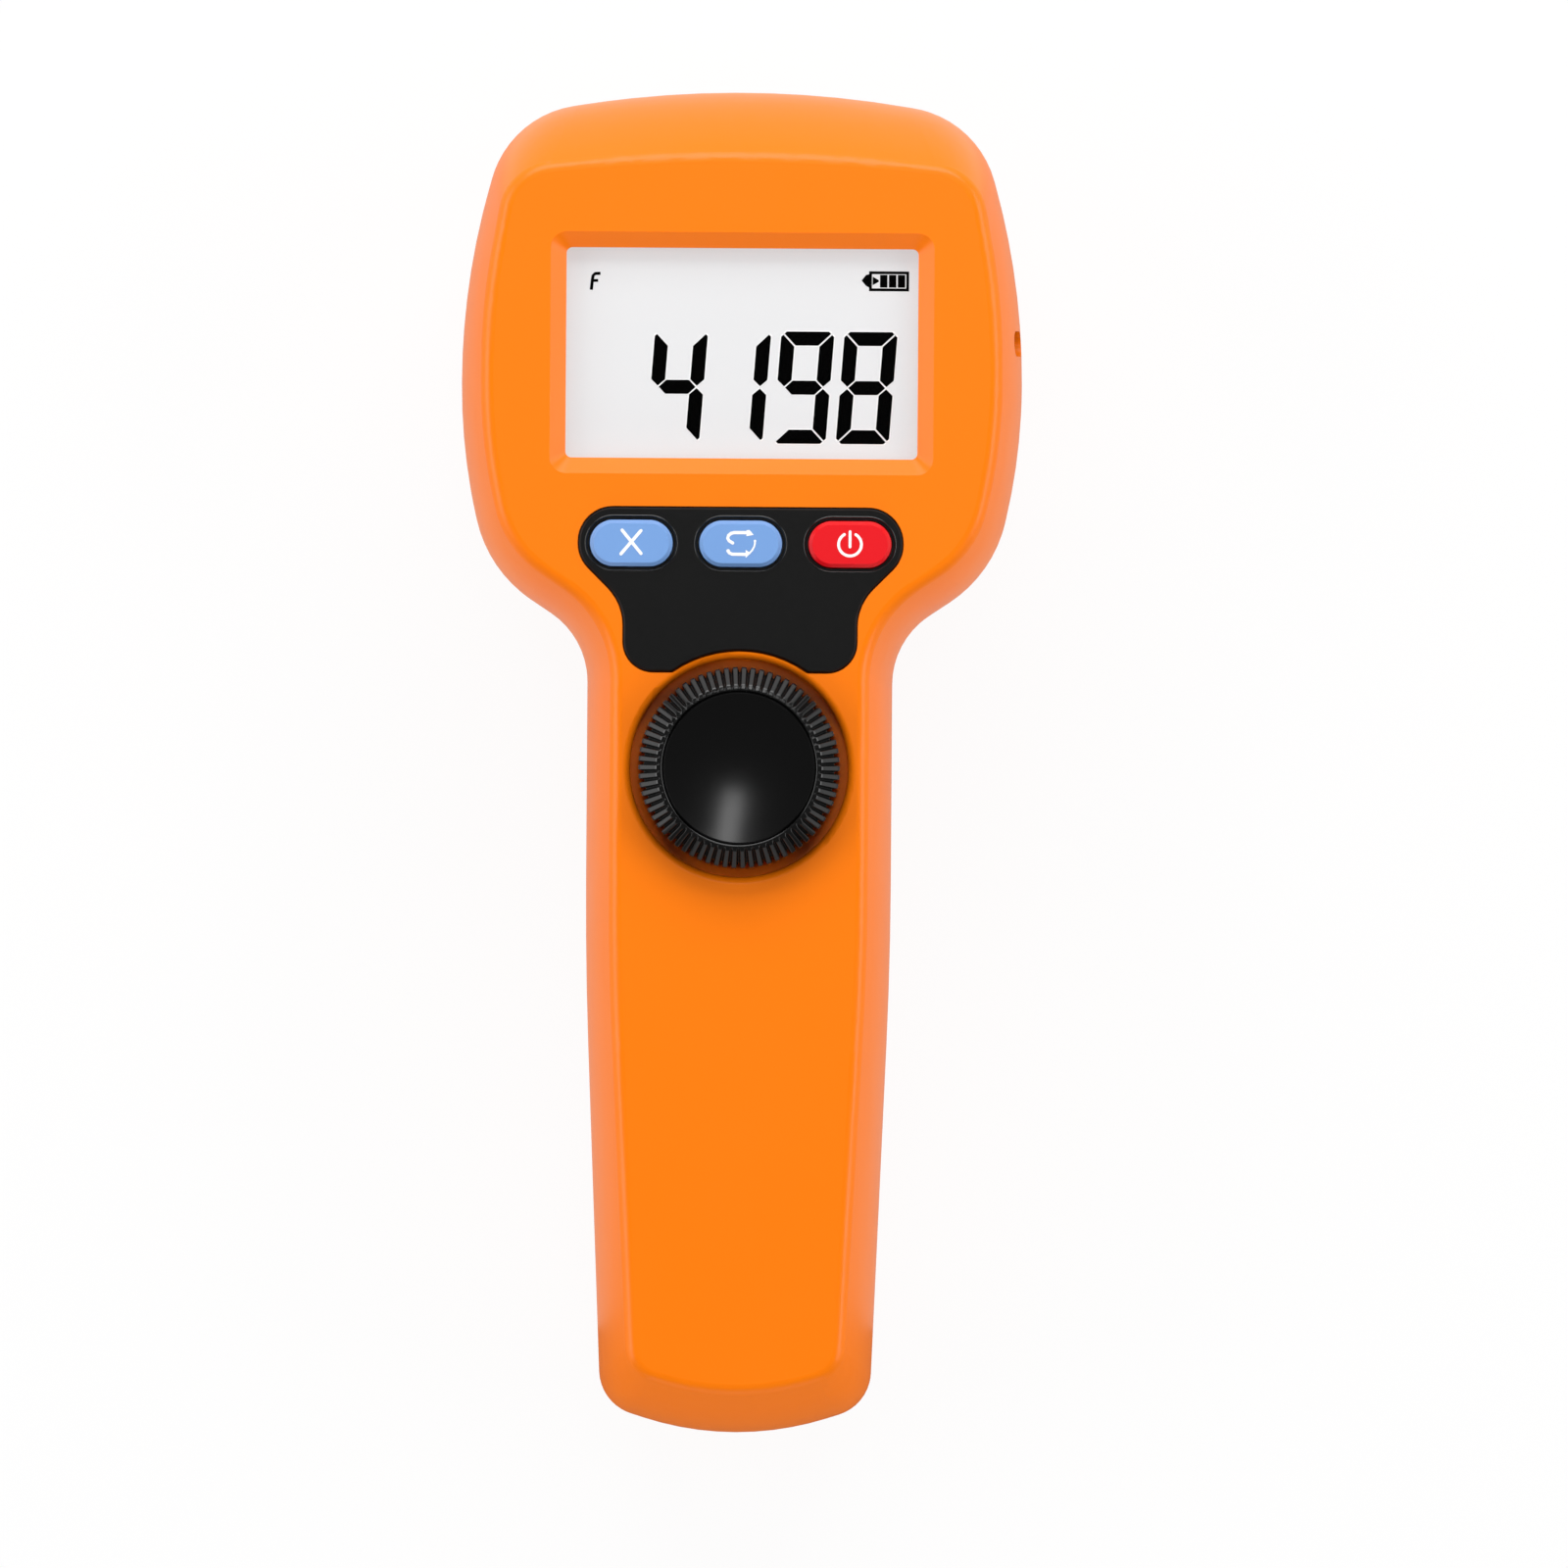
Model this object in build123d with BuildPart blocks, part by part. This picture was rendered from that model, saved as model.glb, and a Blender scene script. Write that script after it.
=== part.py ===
"""Handheld stroboscope tachometer, in millimetres.

It lies on its back, face up. +X is the right of the display, +Y runs from the handle to the
top of the head and +Z rises from the lamp side to the display side, with the table at z = 0.
"""

from build123d import *
from math import cos, pi, radians, sin, tan
import os

# Outlines of the case, right half, from the middle of the heel to the middle of the head's top.
# Each corner is x, y and the radius that rounds it.
WIDEST_CORNERS = (
    (0.0, -102.2, 45.0),
    (20.1, -95.8, 6.8),
    (22.75, -30.0, 600.0),
    (22.75, 18.45, 12.3),
    (37.7, 28.4, 19.5),
    (41.8, 46.3, 88.0),
    (41.8, 71.6, 108.0),
    (34.9, 96.3, 15.0),
    (0.0, 102.0, 150.0),
)
FACE_CORNERS = (
    (0.0, -95.4, 38.0),
    (15.6, -90.6, 5.0),
    (18.8, -30.0, 500.0),
    (18.8, 21.1, 16.3),
    (34.8, 31.9, 16.0),
    (38.4, 47.5, 82.0),
    (38.4, 68.1, 108.0),
    (35.0, 87.9, 8.0),
    (0.0, 91.6, 240.0),
)
BACK_CORNERS = (
    (0.0, -97.0, 34.0),
    (16.0, -92.4, 6.0),
    (15.8, -30.0, 600.0),
    (15.8, 22.2, 19.0),
    (32.2, 33.1, 12.0),
    (34.8, 45.0, 64.0),
    (34.8, 71.0, 80.0),
    (29.5, 90.4, 10.0),
    (0.0, 95.2, 130.0),
)

# Case
FACE_HEIGHT = 46.0
PARTING_HEIGHT = 26.0
UPPER_MIDDLE_HEIGHT = 37.0
LOWER_MIDDLE_HEIGHT = 14.0
WALL = 2.2
FACE_WALL = 2.5
FACE_EDGE_RADIUS = 2.0
BACK_EDGE_RADIUS = 3.8
INNER_EDGE_RADIUS = 1.8
HEAD_BACK_HEIGHT = 3.0
GRIP_BACK_HEIGHT = 11.0
GRIP_TOP_START = 26.0
GRIP_TOP_END = 8.0
GRIP_TOP_RADIUS = 24.0
HEEL_RAMP_START = -82.0
HEEL_RAMP_END = -92.0
HEEL_RAMP_RADIUS = 14.0
HEEL_LIP_RADIUS = 4.0
LIP_THICKNESS = 1.0
LIP_HEIGHT = 1.2
LIP_CLEARANCE = 0.1
BEYOND = 40.0

# Fine points of how corners and edges are drawn
ROOM_SHARE = 0.98
TIGHTEST_CORNER_SHARE = 0.25
LOOKS_DOWN = -0.6
TOLERANCE = 0.01

# Display
DISPLAY_Y = 60.9
OPENING_WIDTH = 52.4
OPENING_HEIGHT = 31.3
OPENING_CORNER_RADIUS = 0.9
FRAME_BEVEL_WIDTH = 2.35
FRAME_BEVEL_TOP = 3.2
FRAME_BEVEL_DEPTH = 1.7
FRAME_CORNER_RADIUS = 2.4
WINDOW_MARGIN = 2.8
WINDOW_THICKNESS = 1.5
CELL_MARGIN = 1.9
CELL_EXTRA_HEIGHT = 5.2
CELL_THICKNESS = 1.8
CELL_LEDGE = 2.4
CELL_LEDGE_DEPTH = 0.8
HOLDER_RIM = 1.0
STRIP_WIDTH = 2.0
STRIP_LENGTH = 50.0
STRIP_CLEARANCE = 0.2
STRIP_INSET = 2.1

# Knob and encoder
KNOB_Y = -0.8
WELL_RADIUS = 16.25
WELL_DEPTH = 4.0
WELL_FLOOR = 2.0
WELL_WALL = 1.6
WELL_LIP_RADIUS = 1.1
KNOB_RADIUS = 15.0
KNOB_TOP_RADIUS = 12.3
KNOB_RIBS = 70
RIB_DEPTH = 0.8
RIB_TOP_DEPTH = 0.45
KNOB_FLOOR_GAP = 0.6
KNOB_SKIRT_HEIGHT = 7.6
KNOB_BEVEL_HEIGHT = 2.4
KNOB_WALL = 1.6
KNOB_ROOF = 2.0
CAP_RADIUS = 11.4
CAP_THICKNESS = 1.6
CAP_DISH = 0.9
CAP_CLEARANCE = 0.1
CAP_EDGE = 0.3
HUB_RADIUS = 5.2
HUB_FLOOR_GAP = 0.4
SHAFT_RADIUS = 3.0
SHAFT_FLAT = 1.5
SHAFT_FLAT_LENGTH = 3.4
SHAFT_END_GAP = 0.2
RUNNING_CLEARANCE = 0.05
BUSHING_RADIUS = 3.5
BUSHING_LENGTH = 6.0
BUSHING_CLEARANCE = 0.1
WASHER_RADIUS = 5.6
WASHER_THICKNESS = 0.6
NUT_ACROSS_FLATS = 10.0
NUT_THICKNESS = 2.0
THREAD_CLEARANCE = 0.02
ENCODER_SIDE = 12.4
ENCODER_HEIGHT = 6.4
ENCODER_BASE = 1.6

# Keys
KEY_Y = 32.55
KEY_PITCH = 16.27
KEY_LENGTH = 12.3
KEY_WIDTH = 6.9
KEY_TOP = 1.2
KEY_BEVEL = 0.55
KEY_CLEARANCE = 0.2
KEY_FLANGE_MARGIN = 1.1
KEY_FLANGE_THICKNESS = 1.1
KEY_FLANGE_GAP = 0.1
KEY_TRAVEL = 0.5
SWITCH_SIDE = 6.2
SWITCH_HEIGHT = 3.5
PLUNGER_RADIUS = 1.75
PLUNGER_DEPTH = 1.4

# Key panel: right half of its outline, with the radius of each corner
PANEL_CORNERS = (
    (24.15, 37.95, 5.2),
    (24.15, 30.35, 5.2),
    (17.4, 23.6, 8.0),
    (17.4, 13.4, 4.5),
)
PANEL_KNOB_RADIUS = 17.4
PANEL_CUSP_RADIUS = 0.8
PANEL_THICKNESS = 1.4
PANEL_PROUD = 0.15
PANEL_CLEARANCE = 0.12
PANEL_EDGE = 0.3
PANEL_RIM_WIDTH = 0.45
PANEL_RIM_DEPTH = 0.3

# Main board
BOARD_THICKNESS = 1.6
BOARD_CORNERS = (
    (10.0, -7.3),
    (10.0, 22.0),
    (23.5, 22.0),
    (23.5, 39.5),
    (30.0, 39.5),
    (30.0, 81.0),
    (22.0, 81.0),
    (22.0, 88.0),
)
STANDOFF_RADIUS = 2.6
STANDOFF_PLACES = ((18.0, 84.5), (20.3, 25.2))
BOARD_SCREW_RADIUS = 1.0
BOARD_SCREW_LENGTH = 5.0
BOARD_SCREW_HEAD_RADIUS = 1.9
BOARD_SCREW_HEAD_HEIGHT = 1.2
BOARD_HOLE_CLEARANCE = 0.15
CONTROLLER_SIDE = 10.0
CONTROLLER_HEIGHT = 1.4
CHIP_LENGTH = 6.2
CHIP_WIDTH = 5.0
CHIP_HEIGHT = 1.5
CHIP_PLACES = ((18.0, 70.0), (18.0, 52.0), (-18.0, 70.0))
COIL_SIDE = 7.0
COIL_HEIGHT = 3.0
COIL_CORNER_RADIUS = 1.2
COIL_PLACE = (-18.0, 52.0)

# Case screws
SCREW_RADIUS = 1.3
SCREW_LENGTH = 18.0
SCREW_HEAD_RADIUS = 2.4
SCREW_HEAD_HEIGHT = 1.8
SCREW_SEAT_HEIGHT = 14.0
SCREW_HEAD_CLEARANCE = 0.3
SCREW_BORE_CLEARANCE = 0.2
SCREW_PILOT_CLEARANCE = 0.02
SCREW_END_GAP = 1.0
SCREW_DRIVE_SHARE = 0.45
SCREW_DRIVE_DEPTH_SHARE = 0.5
SCREW_BEVEL_SHARE = 0.25
BOSS_RADIUS = 4.0
UPPER_BOSS_RADIUS = 3.2
CASE_SCREW_PLACES = ((28.5, 86.0), (28.0, 34.5), (13.6, -85.6))

# Lamp
LAMP_Y = 60.0
LENS_WIDTH = 53.0
LENS_HEIGHT = 41.0
LENS_THICKNESS = 2.0
LENS_CORNER_RADIUS = 7.5
LENS_CLEARANCE = 0.2
GASKET_WIDTH = 1.2
GASKET_THICKNESS = 0.6
BEZEL_LEDGE = 1.5
BEZEL_LEDGE_THICKNESS = 3.2
BEZEL_NECK_WALL = 1.2
BEZEL_FLANGE_WIDTH = 2.2
BEZEL_NECK_RISE = 1.2
BEZEL_EDGE = 0.8
BEZEL_BEVEL = 1.6
APERTURE_CLEARANCE = 0.15
CUP_COLUMNS = 4
CUP_ROWS = 3
CUP_PITCH = 12.4
CUP_MOUTH_RADIUS = 6.0
CUP_THROAT_RADIUS = 2.4
REFLECTOR_DEPTH = 9.2
REFLECTOR_MARGIN = 0.2
LED_BOARD_THICKNESS = 1.6
LED_SIDE = 3.0
LED_HEIGHT = 0.7
HEAT_SINK_WIDTH = 67.0
HEAT_SINK_HEIGHT = 40.0
HEAT_SINK_BASE = 2.2
FIN_COUNT = 11
FIN_PITCH = 4.8
FIN_THICKNESS = 1.3
FIN_HEIGHT = 6.6
LAMP_SCREW_X = 30.5
LAMP_SCREW_SPREAD = 16.0
LAMP_BOSS_RADIUS = 2.8
LAMP_SCREW_RADIUS = 1.25
LAMP_SCREW_LENGTH = 9.0
LAMP_SCREW_HEAD_RADIUS = 2.3
LAMP_SCREW_HEAD_HEIGHT = 1.6
LAMP_SCREW_CLEARANCE = 0.15

# Battery
CELL_RADIUS = 9.2
CELL_LENGTH = 65.0
CELL_CENTRE_Y = -42.7
CELL_HEIGHT = 23.6
CELL_EDGE = 0.8
CRADLE_CLEARANCE = 0.3
CRADLE_WALL = 2.6
CRADLE_ROOF = 1.4
CRADLE_END = 1.8
CRADLE_FLANGE_WIDTH = 3.8
CRADLE_FLANGE_THICKNESS = 1.6
CONTACT_THICKNESS = 0.6
CONTACT_SIDE = 9.0
SPRING_LENGTH = 2.4
SPRING_RADIUS = 4.0
SPRING_TIP_RADIUS = 2.4
SPRING_WIRE_RADIUS = 0.4
SPRING_TURNS = 2.5
SPRING_STEPS = 8
CRADLE_RIB_PLACES = (-70.0, -25.0)
CRADLE_RIB_THICKNESS = 1.6
CRADLE_RIB_HALF_WIDTH = 12.0

# Battery door
DOOR_HALF_WIDTH = 13.4
DOOR_TOP_Y = -1.8
DOOR_BOTTOM_Y = -75.4
DOOR_CORNER_RADIUS = 3.0
DOOR_CLEARANCE = 0.2
DOOR_TONGUE_WIDTH = 10.0
DOOR_TONGUE_REACH = 1.6
DOOR_TONGUE_THICKNESS = 1.0
DOOR_SCREW_Y = -5.2
DOOR_SCREW_RADIUS = 1.25
DOOR_SCREW_LENGTH = 7.0
DOOR_SCREW_HEAD_RADIUS = 2.3
DOOR_SCREW_HEAD_HEIGHT = 1.0
DOOR_SCREW_HEAD_CLEARANCE = 0.25
DOOR_POST_HALF_WIDTH = 3.4
DOOR_POST_HEIGHT = 8.0
DOOR_POST_END_Y = -2.0

# Tripod bush
BUSH_HEIGHT = 18.0
BUSH_RADIUS = 4.5
BUSH_LENGTH = 8.0
BUSH_BORE_RADIUS = 2.6
BUSH_BORE_DEPTH = 7.0
BUSH_FACE_Y = -98.6
BUSH_BOSS_WALL = 2.4
BUSH_POCKET_MARGIN = 0.7
BUSH_CLEARANCE = 0.02
BUSH_MOUTH_BEVEL = 0.5

# Charging socket
SOCKET_Y = 62.7
SOCKET_RISE = 6.6
SOCKET_WIDTH = 8.94
SOCKET_THICKNESS = 3.26
SOCKET_LENGTH = 7.3
SOCKET_WALL = 0.3
SOCKET_BACK = 0.6
SOCKET_MOUTH_X = 40.5
SOCKET_CLEARANCE = 0.25
SOCKET_TONGUE_WIDTH = 6.7
SOCKET_TONGUE_THICKNESS = 0.7
SOCKET_TONGUE_LENGTH = 5.0
CHARGE_BOARD_THICKNESS = 1.0
CHARGE_BOARD_GAP = 1.4
CHARGE_BOARD_REACH = 3.5
CHARGE_BOARD_WIDTH = 10.6
CHARGE_RIB_THICKNESS = 1.4
CHARGE_RIB_INSET = 1.2
CHARGE_RIB_RISE = 4.0

# Leads from the battery and the lamp to the main board
LEAD_RADIUS = 0.6
LEAD_BEND = 1.0
LEAD_HOLE_CLEARANCE = 0.15
LAMP_LEAD_X = 3.0
LAMP_LEAD_REACH = 3.5
BATTERY_LEAD_RISE_Y = -5.0
BATTERY_LEAD_END_X = 7.5
BATTERY_LEAD_SIDE_GAP = 2.1
BATTERY_LEAD_END_GAP = 1.1

# Heights and places worked out from the sizes above
INNER_FACE_HEIGHT = FACE_HEIGHT - FACE_WALL
WINDOW_BOTTOM = INNER_FACE_HEIGHT - WINDOW_THICKNESS
CELL_GLASS_BOTTOM = WINDOW_BOTTOM - CELL_THICKNESS
WELL_FLOOR_HEIGHT = FACE_HEIGHT - WELL_DEPTH
ENCODER_TOP = WELL_FLOOR_HEIGHT - WELL_FLOOR
BOARD_TOP = ENCODER_TOP - ENCODER_HEIGHT
BOARD_BOTTOM = BOARD_TOP - BOARD_THICKNESS
PANEL_TOP = FACE_HEIGHT + PANEL_PROUD
PANEL_FLOOR = PANEL_TOP - PANEL_THICKNESS
KEY_TOP_HEIGHT = FACE_HEIGHT + KEY_TOP
KEY_FLANGE_TOP = INNER_FACE_HEIGHT - KEY_FLANGE_GAP
KEY_BOTTOM = KEY_FLANGE_TOP - KEY_FLANGE_THICKNESS
KEY_XS = (-KEY_PITCH, 0.0, KEY_PITCH)
KEY_NAMES = ("mode", "swap", "power")
KNOB_BOTTOM = WELL_FLOOR_HEIGHT + KNOB_FLOOR_GAP
KNOB_SKIRT_TOP = KNOB_BOTTOM + KNOB_SKIRT_HEIGHT
KNOB_TOP = KNOB_SKIRT_TOP + KNOB_BEVEL_HEIGHT
CAP_SEAT = KNOB_TOP - CAP_THICKNESS
BUSHING_TOP = ENCODER_TOP + BUSHING_LENGTH
HUB_BOTTOM = BUSHING_TOP + HUB_FLOOR_GAP
SHAFT_TOP = HUB_BOTTOM + SHAFT_FLAT_LENGTH
SHAFT_BOTTOM = BOARD_TOP + ENCODER_BASE + SHAFT_END_GAP
FLOOR_HEIGHT = HEAD_BACK_HEIGHT + WALL
GRIP_FLOOR = GRIP_BACK_HEIGHT + WALL
GASKET_BOTTOM = BEZEL_LEDGE_THICKNESS
LENS_BOTTOM = GASKET_BOTTOM + GASKET_THICKNESS
REFLECTOR_BOTTOM = LENS_BOTTOM + LENS_THICKNESS
LED_BOARD_BOTTOM = REFLECTOR_BOTTOM + REFLECTOR_DEPTH
HEAT_SINK_BOTTOM = LED_BOARD_BOTTOM + LED_BOARD_THICKNESS
HEAT_SINK_TOP = HEAT_SINK_BOTTOM + HEAT_SINK_BASE
SEAT_WIDTH = LENS_WIDTH + 2 * LENS_CLEARANCE
SEAT_HEIGHT = LENS_HEIGHT + 2 * LENS_CLEARANCE
SEAT_RADIUS = LENS_CORNER_RADIUS + LENS_CLEARANCE
NECK_WIDTH = SEAT_WIDTH + 2 * BEZEL_NECK_WALL
NECK_HEIGHT = SEAT_HEIGHT + 2 * BEZEL_NECK_WALL
NECK_RADIUS = SEAT_RADIUS + BEZEL_NECK_WALL
CELL_TOP_Y = CELL_CENTRE_Y + CELL_LENGTH / 2
CELL_BOTTOM_Y = CELL_CENTRE_Y - CELL_LENGTH / 2
CRADLE_RADIUS = CELL_RADIUS + CRADLE_CLEARANCE
CRADLE_HALF_WIDTH = CRADLE_RADIUS + CRADLE_WALL
CRADLE_TOP = CELL_HEIGHT + CRADLE_RADIUS + CRADLE_ROOF
CRADLE_INNER_TOP_Y = CELL_TOP_Y + CONTACT_THICKNESS
CRADLE_INNER_BOTTOM_Y = CELL_BOTTOM_Y - SPRING_LENGTH
SPRING_BASE_Y = CRADLE_INNER_BOTTOM_Y + SPRING_WIRE_RADIUS
GLASS_WIDTH = OPENING_WIDTH + 2 * CELL_MARGIN
GLASS_HEIGHT = OPENING_HEIGHT + CELL_EXTRA_HEIGHT
LEDGE_OFFSET = (GLASS_HEIGHT - CELL_LEDGE) / 2
STRIP_OFFSET = GLASS_HEIGHT / 2 - STRIP_INSET
SOCKET_HEIGHT = PARTING_HEIGHT + SOCKET_RISE
SOCKET_BACK_X = SOCKET_MOUTH_X - SOCKET_LENGTH
CHARGE_BOARD_TOP_Y = SOCKET_Y - SOCKET_THICKNESS / 2
CHARGE_BOARD_INNER_X = GLASS_WIDTH / 2 + HOLDER_RIM + CHARGE_BOARD_GAP
CHARGE_BOARD_OUTER_X = SOCKET_BACK_X + CHARGE_BOARD_REACH
CHARGE_RIB_TOP_Y = CHARGE_BOARD_TOP_Y - CHARGE_BOARD_THICKNESS
CHARGE_RIB_BOTTOM = PARTING_HEIGHT + CHARGE_RIB_RISE


def blend_corners(first, second, share):
    """Corners that lie the given share of the way from the first outline to the second."""
    pairs = zip(first, second)
    return [tuple(a + (b - a) * share for a, b in zip(one, other)) for one, other in pairs]


def upper_corners(height):
    """Outline of the display half: its sides stand upright at the parting and lean in above it."""
    rise = (height - PARTING_HEIGHT) / (FACE_HEIGHT - PARTING_HEIGHT)
    return blend_corners(WIDEST_CORNERS, FACE_CORNERS, rise**2)


def lower_corners(height):
    """Outline of the lamp half: its sides stand upright at the parting and lean in below it."""
    drop = (PARTING_HEIGHT - height) / PARTING_HEIGHT
    return blend_corners(WIDEST_CORNERS, BACK_CORNERS, drop**2)


def inset_corners(corners, distance):
    """The same outline, moved inwards by one distance all round."""
    points = [Vector(x, y) for x, y, _ in corners]
    before = Vector(-points[1].X, points[1].Y)
    after = Vector(-points[-2].X, points[-2].Y)
    chain = [before, *points, after]
    moved = []
    for previous, (point, following), (_, _, radius) in zip(
        chain, zip(chain[1:], chain[2:]), corners
    ):
        arriving = (point - previous).normalized()
        leaving = (following - point).normalized()
        inward = Vector(-arriving.Y - leaving.Y, arriving.X + leaving.X)
        spot = point + inward * (distance / (1 + arriving.dot(leaving)))
        turns_left = arriving.X * leaving.Y > arriving.Y * leaving.X
        if turns_left:
            inner_radius = max(radius - distance, radius * TIGHTEST_CORNER_SHARE)
        else:
            inner_radius = radius + distance
        moved.append((spot.X, spot.Y, inner_radius))
    return moved


def draw_outline(corners):
    """Draws the right half and its mirror image as straight runs joined by tangent arcs."""
    loop = [*corners, *((-x, y, radius) for x, y, radius in reversed(corners[1:-1]))]
    draw_rounded(loop)


def draw_rounded(loop):
    """Draws a closed loop of x, y, radius corners. Two arcs share what a short side has."""
    count = len(loop)
    points = [Vector(x, y) for x, y, _ in loop]
    sides = [points[(i + 1) % count] - points[i] for i in range(count)]
    turns = [radians(sides[i - 1].get_angle(sides[i])) for i in range(count)]
    reaches = [loop[i][2] * tan(turns[i] / 2) for i in range(count)]
    rooms = [
        ROOM_SHARE * sides[i].length / (reaches[i] + reaches[(i + 1) % count])
        for i in range(count)
    ]
    reaches = [reaches[i] * min(1, rooms[i - 1], rooms[i]) for i in range(count)]
    for i in range(count):
        following = (i + 1) % count
        arriving = sides[i - 1].normalized()
        leaving = sides[i].normalized()
        start = points[i] - arriving * reaches[i]
        end = points[i] + leaving * reaches[i]
        TangentArc(start, end, tangent=arriving)
        Line(end, points[following] - leaving * reaches[following])


def lofted_case(heights, corners_at, distance):
    """A solid through the outlines at the given heights, each moved inwards by one distance."""
    with BuildPart() as body:
        for height in heights:
            with BuildSketch(Plane.XY.offset(height)):
                with BuildLine():
                    draw_outline(inset_corners(corners_at(height), distance))
                make_face()
        loft()
    return body.part


def below_back(rise):
    """The space behind the case: level under the head, a hollow for the hand, and the heel lip."""
    top = WIDEST_CORNERS[-1][1] + BEYOND
    bottom = WIDEST_CORNERS[0][1] - BEYOND
    with BuildPart() as space:
        with BuildSketch(Plane.YZ) as profile:
            with BuildLine():
                Polyline(
                    (top, -BEYOND),
                    (top, HEAD_BACK_HEIGHT + rise),
                    (GRIP_TOP_START, HEAD_BACK_HEIGHT + rise),
                    (GRIP_TOP_END, GRIP_BACK_HEIGHT + rise),
                    (HEEL_RAMP_START, GRIP_BACK_HEIGHT + rise),
                    (HEEL_RAMP_END, rise),
                    (bottom, rise),
                    (bottom, -BEYOND),
                    close=True,
                )
            make_face()
            for spot, radius in (
                ((GRIP_TOP_START, HEAD_BACK_HEIGHT + rise), GRIP_TOP_RADIUS),
                ((GRIP_TOP_END, GRIP_BACK_HEIGHT + rise), GRIP_TOP_RADIUS),
                ((HEEL_RAMP_START, GRIP_BACK_HEIGHT + rise), HEEL_RAMP_RADIUS),
                ((HEEL_RAMP_END, rise), HEEL_LIP_RADIUS),
            ):
                fillet(profile.vertices().sort_by_distance(spot)[0], radius)
        extrude(amount=BEYOND * 2, both=True)
    return space.part


def opposite(places):
    """Each place and its mirror image across the middle of the case."""
    return [spot for x, y in places for spot in ((x, y), (-x, y))]


def lamp_outline(height, width, tall, radius):
    """A rounded rectangle centred on the lamp, at one height."""
    with BuildSketch(Plane.XY.offset(height)) as outline:
        with Locations((0, LAMP_Y)):
            RectangleRounded(width, tall, radius)
    return outline.sketch


def door_outline(height, clearance):
    """The battery door's outline at one height, grown by a clearance."""
    with BuildSketch(Plane.XY.offset(height)) as outline:
        with Locations((0, (DOOR_TOP_Y + DOOR_BOTTOM_Y) / 2)):
            RectangleRounded(
                2 * (DOOR_HALF_WIDTH + clearance),
                DOOR_TOP_Y - DOOR_BOTTOM_Y + 2 * clearance,
                DOOR_CORNER_RADIUS + clearance,
            )
    return outline.sketch


def discs(height, radius, places):
    """Circles of one radius at the given places, at one height."""
    with BuildSketch(Plane.XY.offset(height)) as circles:
        with Locations(*places):
            Circle(radius)
    return circles.sketch


def back_rim(body):
    """Edges where the faces that look down meet the sides."""
    downward = body.faces().filter_by(lambda face: face.normal_at().Z < LOOKS_DOWN)
    rim = ShapeList(edge for face in downward for edge in face.edges())
    return [edge for edge in rim if sum(edge.is_same(other) for other in rim) == 1]


def screws(places, seat, shank_radius, length, head_radius, head_height, upwards):
    """Pan-head screws whose heads bear on one height, with the shanks above it or below it."""
    way = 1 if upwards else -1
    with BuildPart() as group:
        extrude(discs(seat, shank_radius, places), amount=way * length)
        extrude(discs(seat, head_radius, places), amount=-way * head_height)
        top_height = seat - way * head_height
        top_edges = group.edges().filter_by(
            lambda edge: abs(edge.center().Z - top_height) < TOLERANCE
        )
        chamfer(top_edges, head_height * SCREW_BEVEL_SHARE)
        recesses = discs(top_height, head_radius * SCREW_DRIVE_SHARE, places)
        extrude(recesses, amount=way * head_height * SCREW_DRIVE_DEPTH_SHARE, mode=Mode.SUBTRACT)
    return group.part


# Places that come in mirrored pairs
CASE_PLACES = opposite(CASE_SCREW_PLACES)
STANDOFFS = opposite(STANDOFF_PLACES)
LAMP_SCREW_PLACES = opposite(
    (LAMP_SCREW_X, LAMP_Y + side * LAMP_SCREW_SPREAD) for side in (1, -1)
)
KNOB_PLACE = [(0, KNOB_Y)]
KEY_PLACES = [(x, KEY_Y) for x in KEY_XS]

# Half of the case with the display face
UPPER_HEIGHTS = (PARTING_HEIGHT, UPPER_MIDDLE_HEIGHT, FACE_HEIGHT)
UPPER_INNER_HEIGHTS = (PARTING_HEIGHT, UPPER_MIDDLE_HEIGHT, INNER_FACE_HEIGHT)
upper_solid = lofted_case(UPPER_HEIGHTS, upper_corners, 0)
upper_hollow = lofted_case(UPPER_INNER_HEIGHTS, upper_corners, WALL)

with BuildSketch() as panel_outline:
    with BuildLine():
        draw_rounded([*PANEL_CORNERS[::-1], *((-x, y, radius) for x, y, radius in PANEL_CORNERS)])
    make_face()
    with Locations((0, KNOB_Y)):
        Circle(PANEL_KNOB_RADIUS, mode=Mode.SUBTRACT)
    fillet(panel_outline.vertices().group_by(Axis.Y)[0], PANEL_CUSP_RADIUS)

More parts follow.
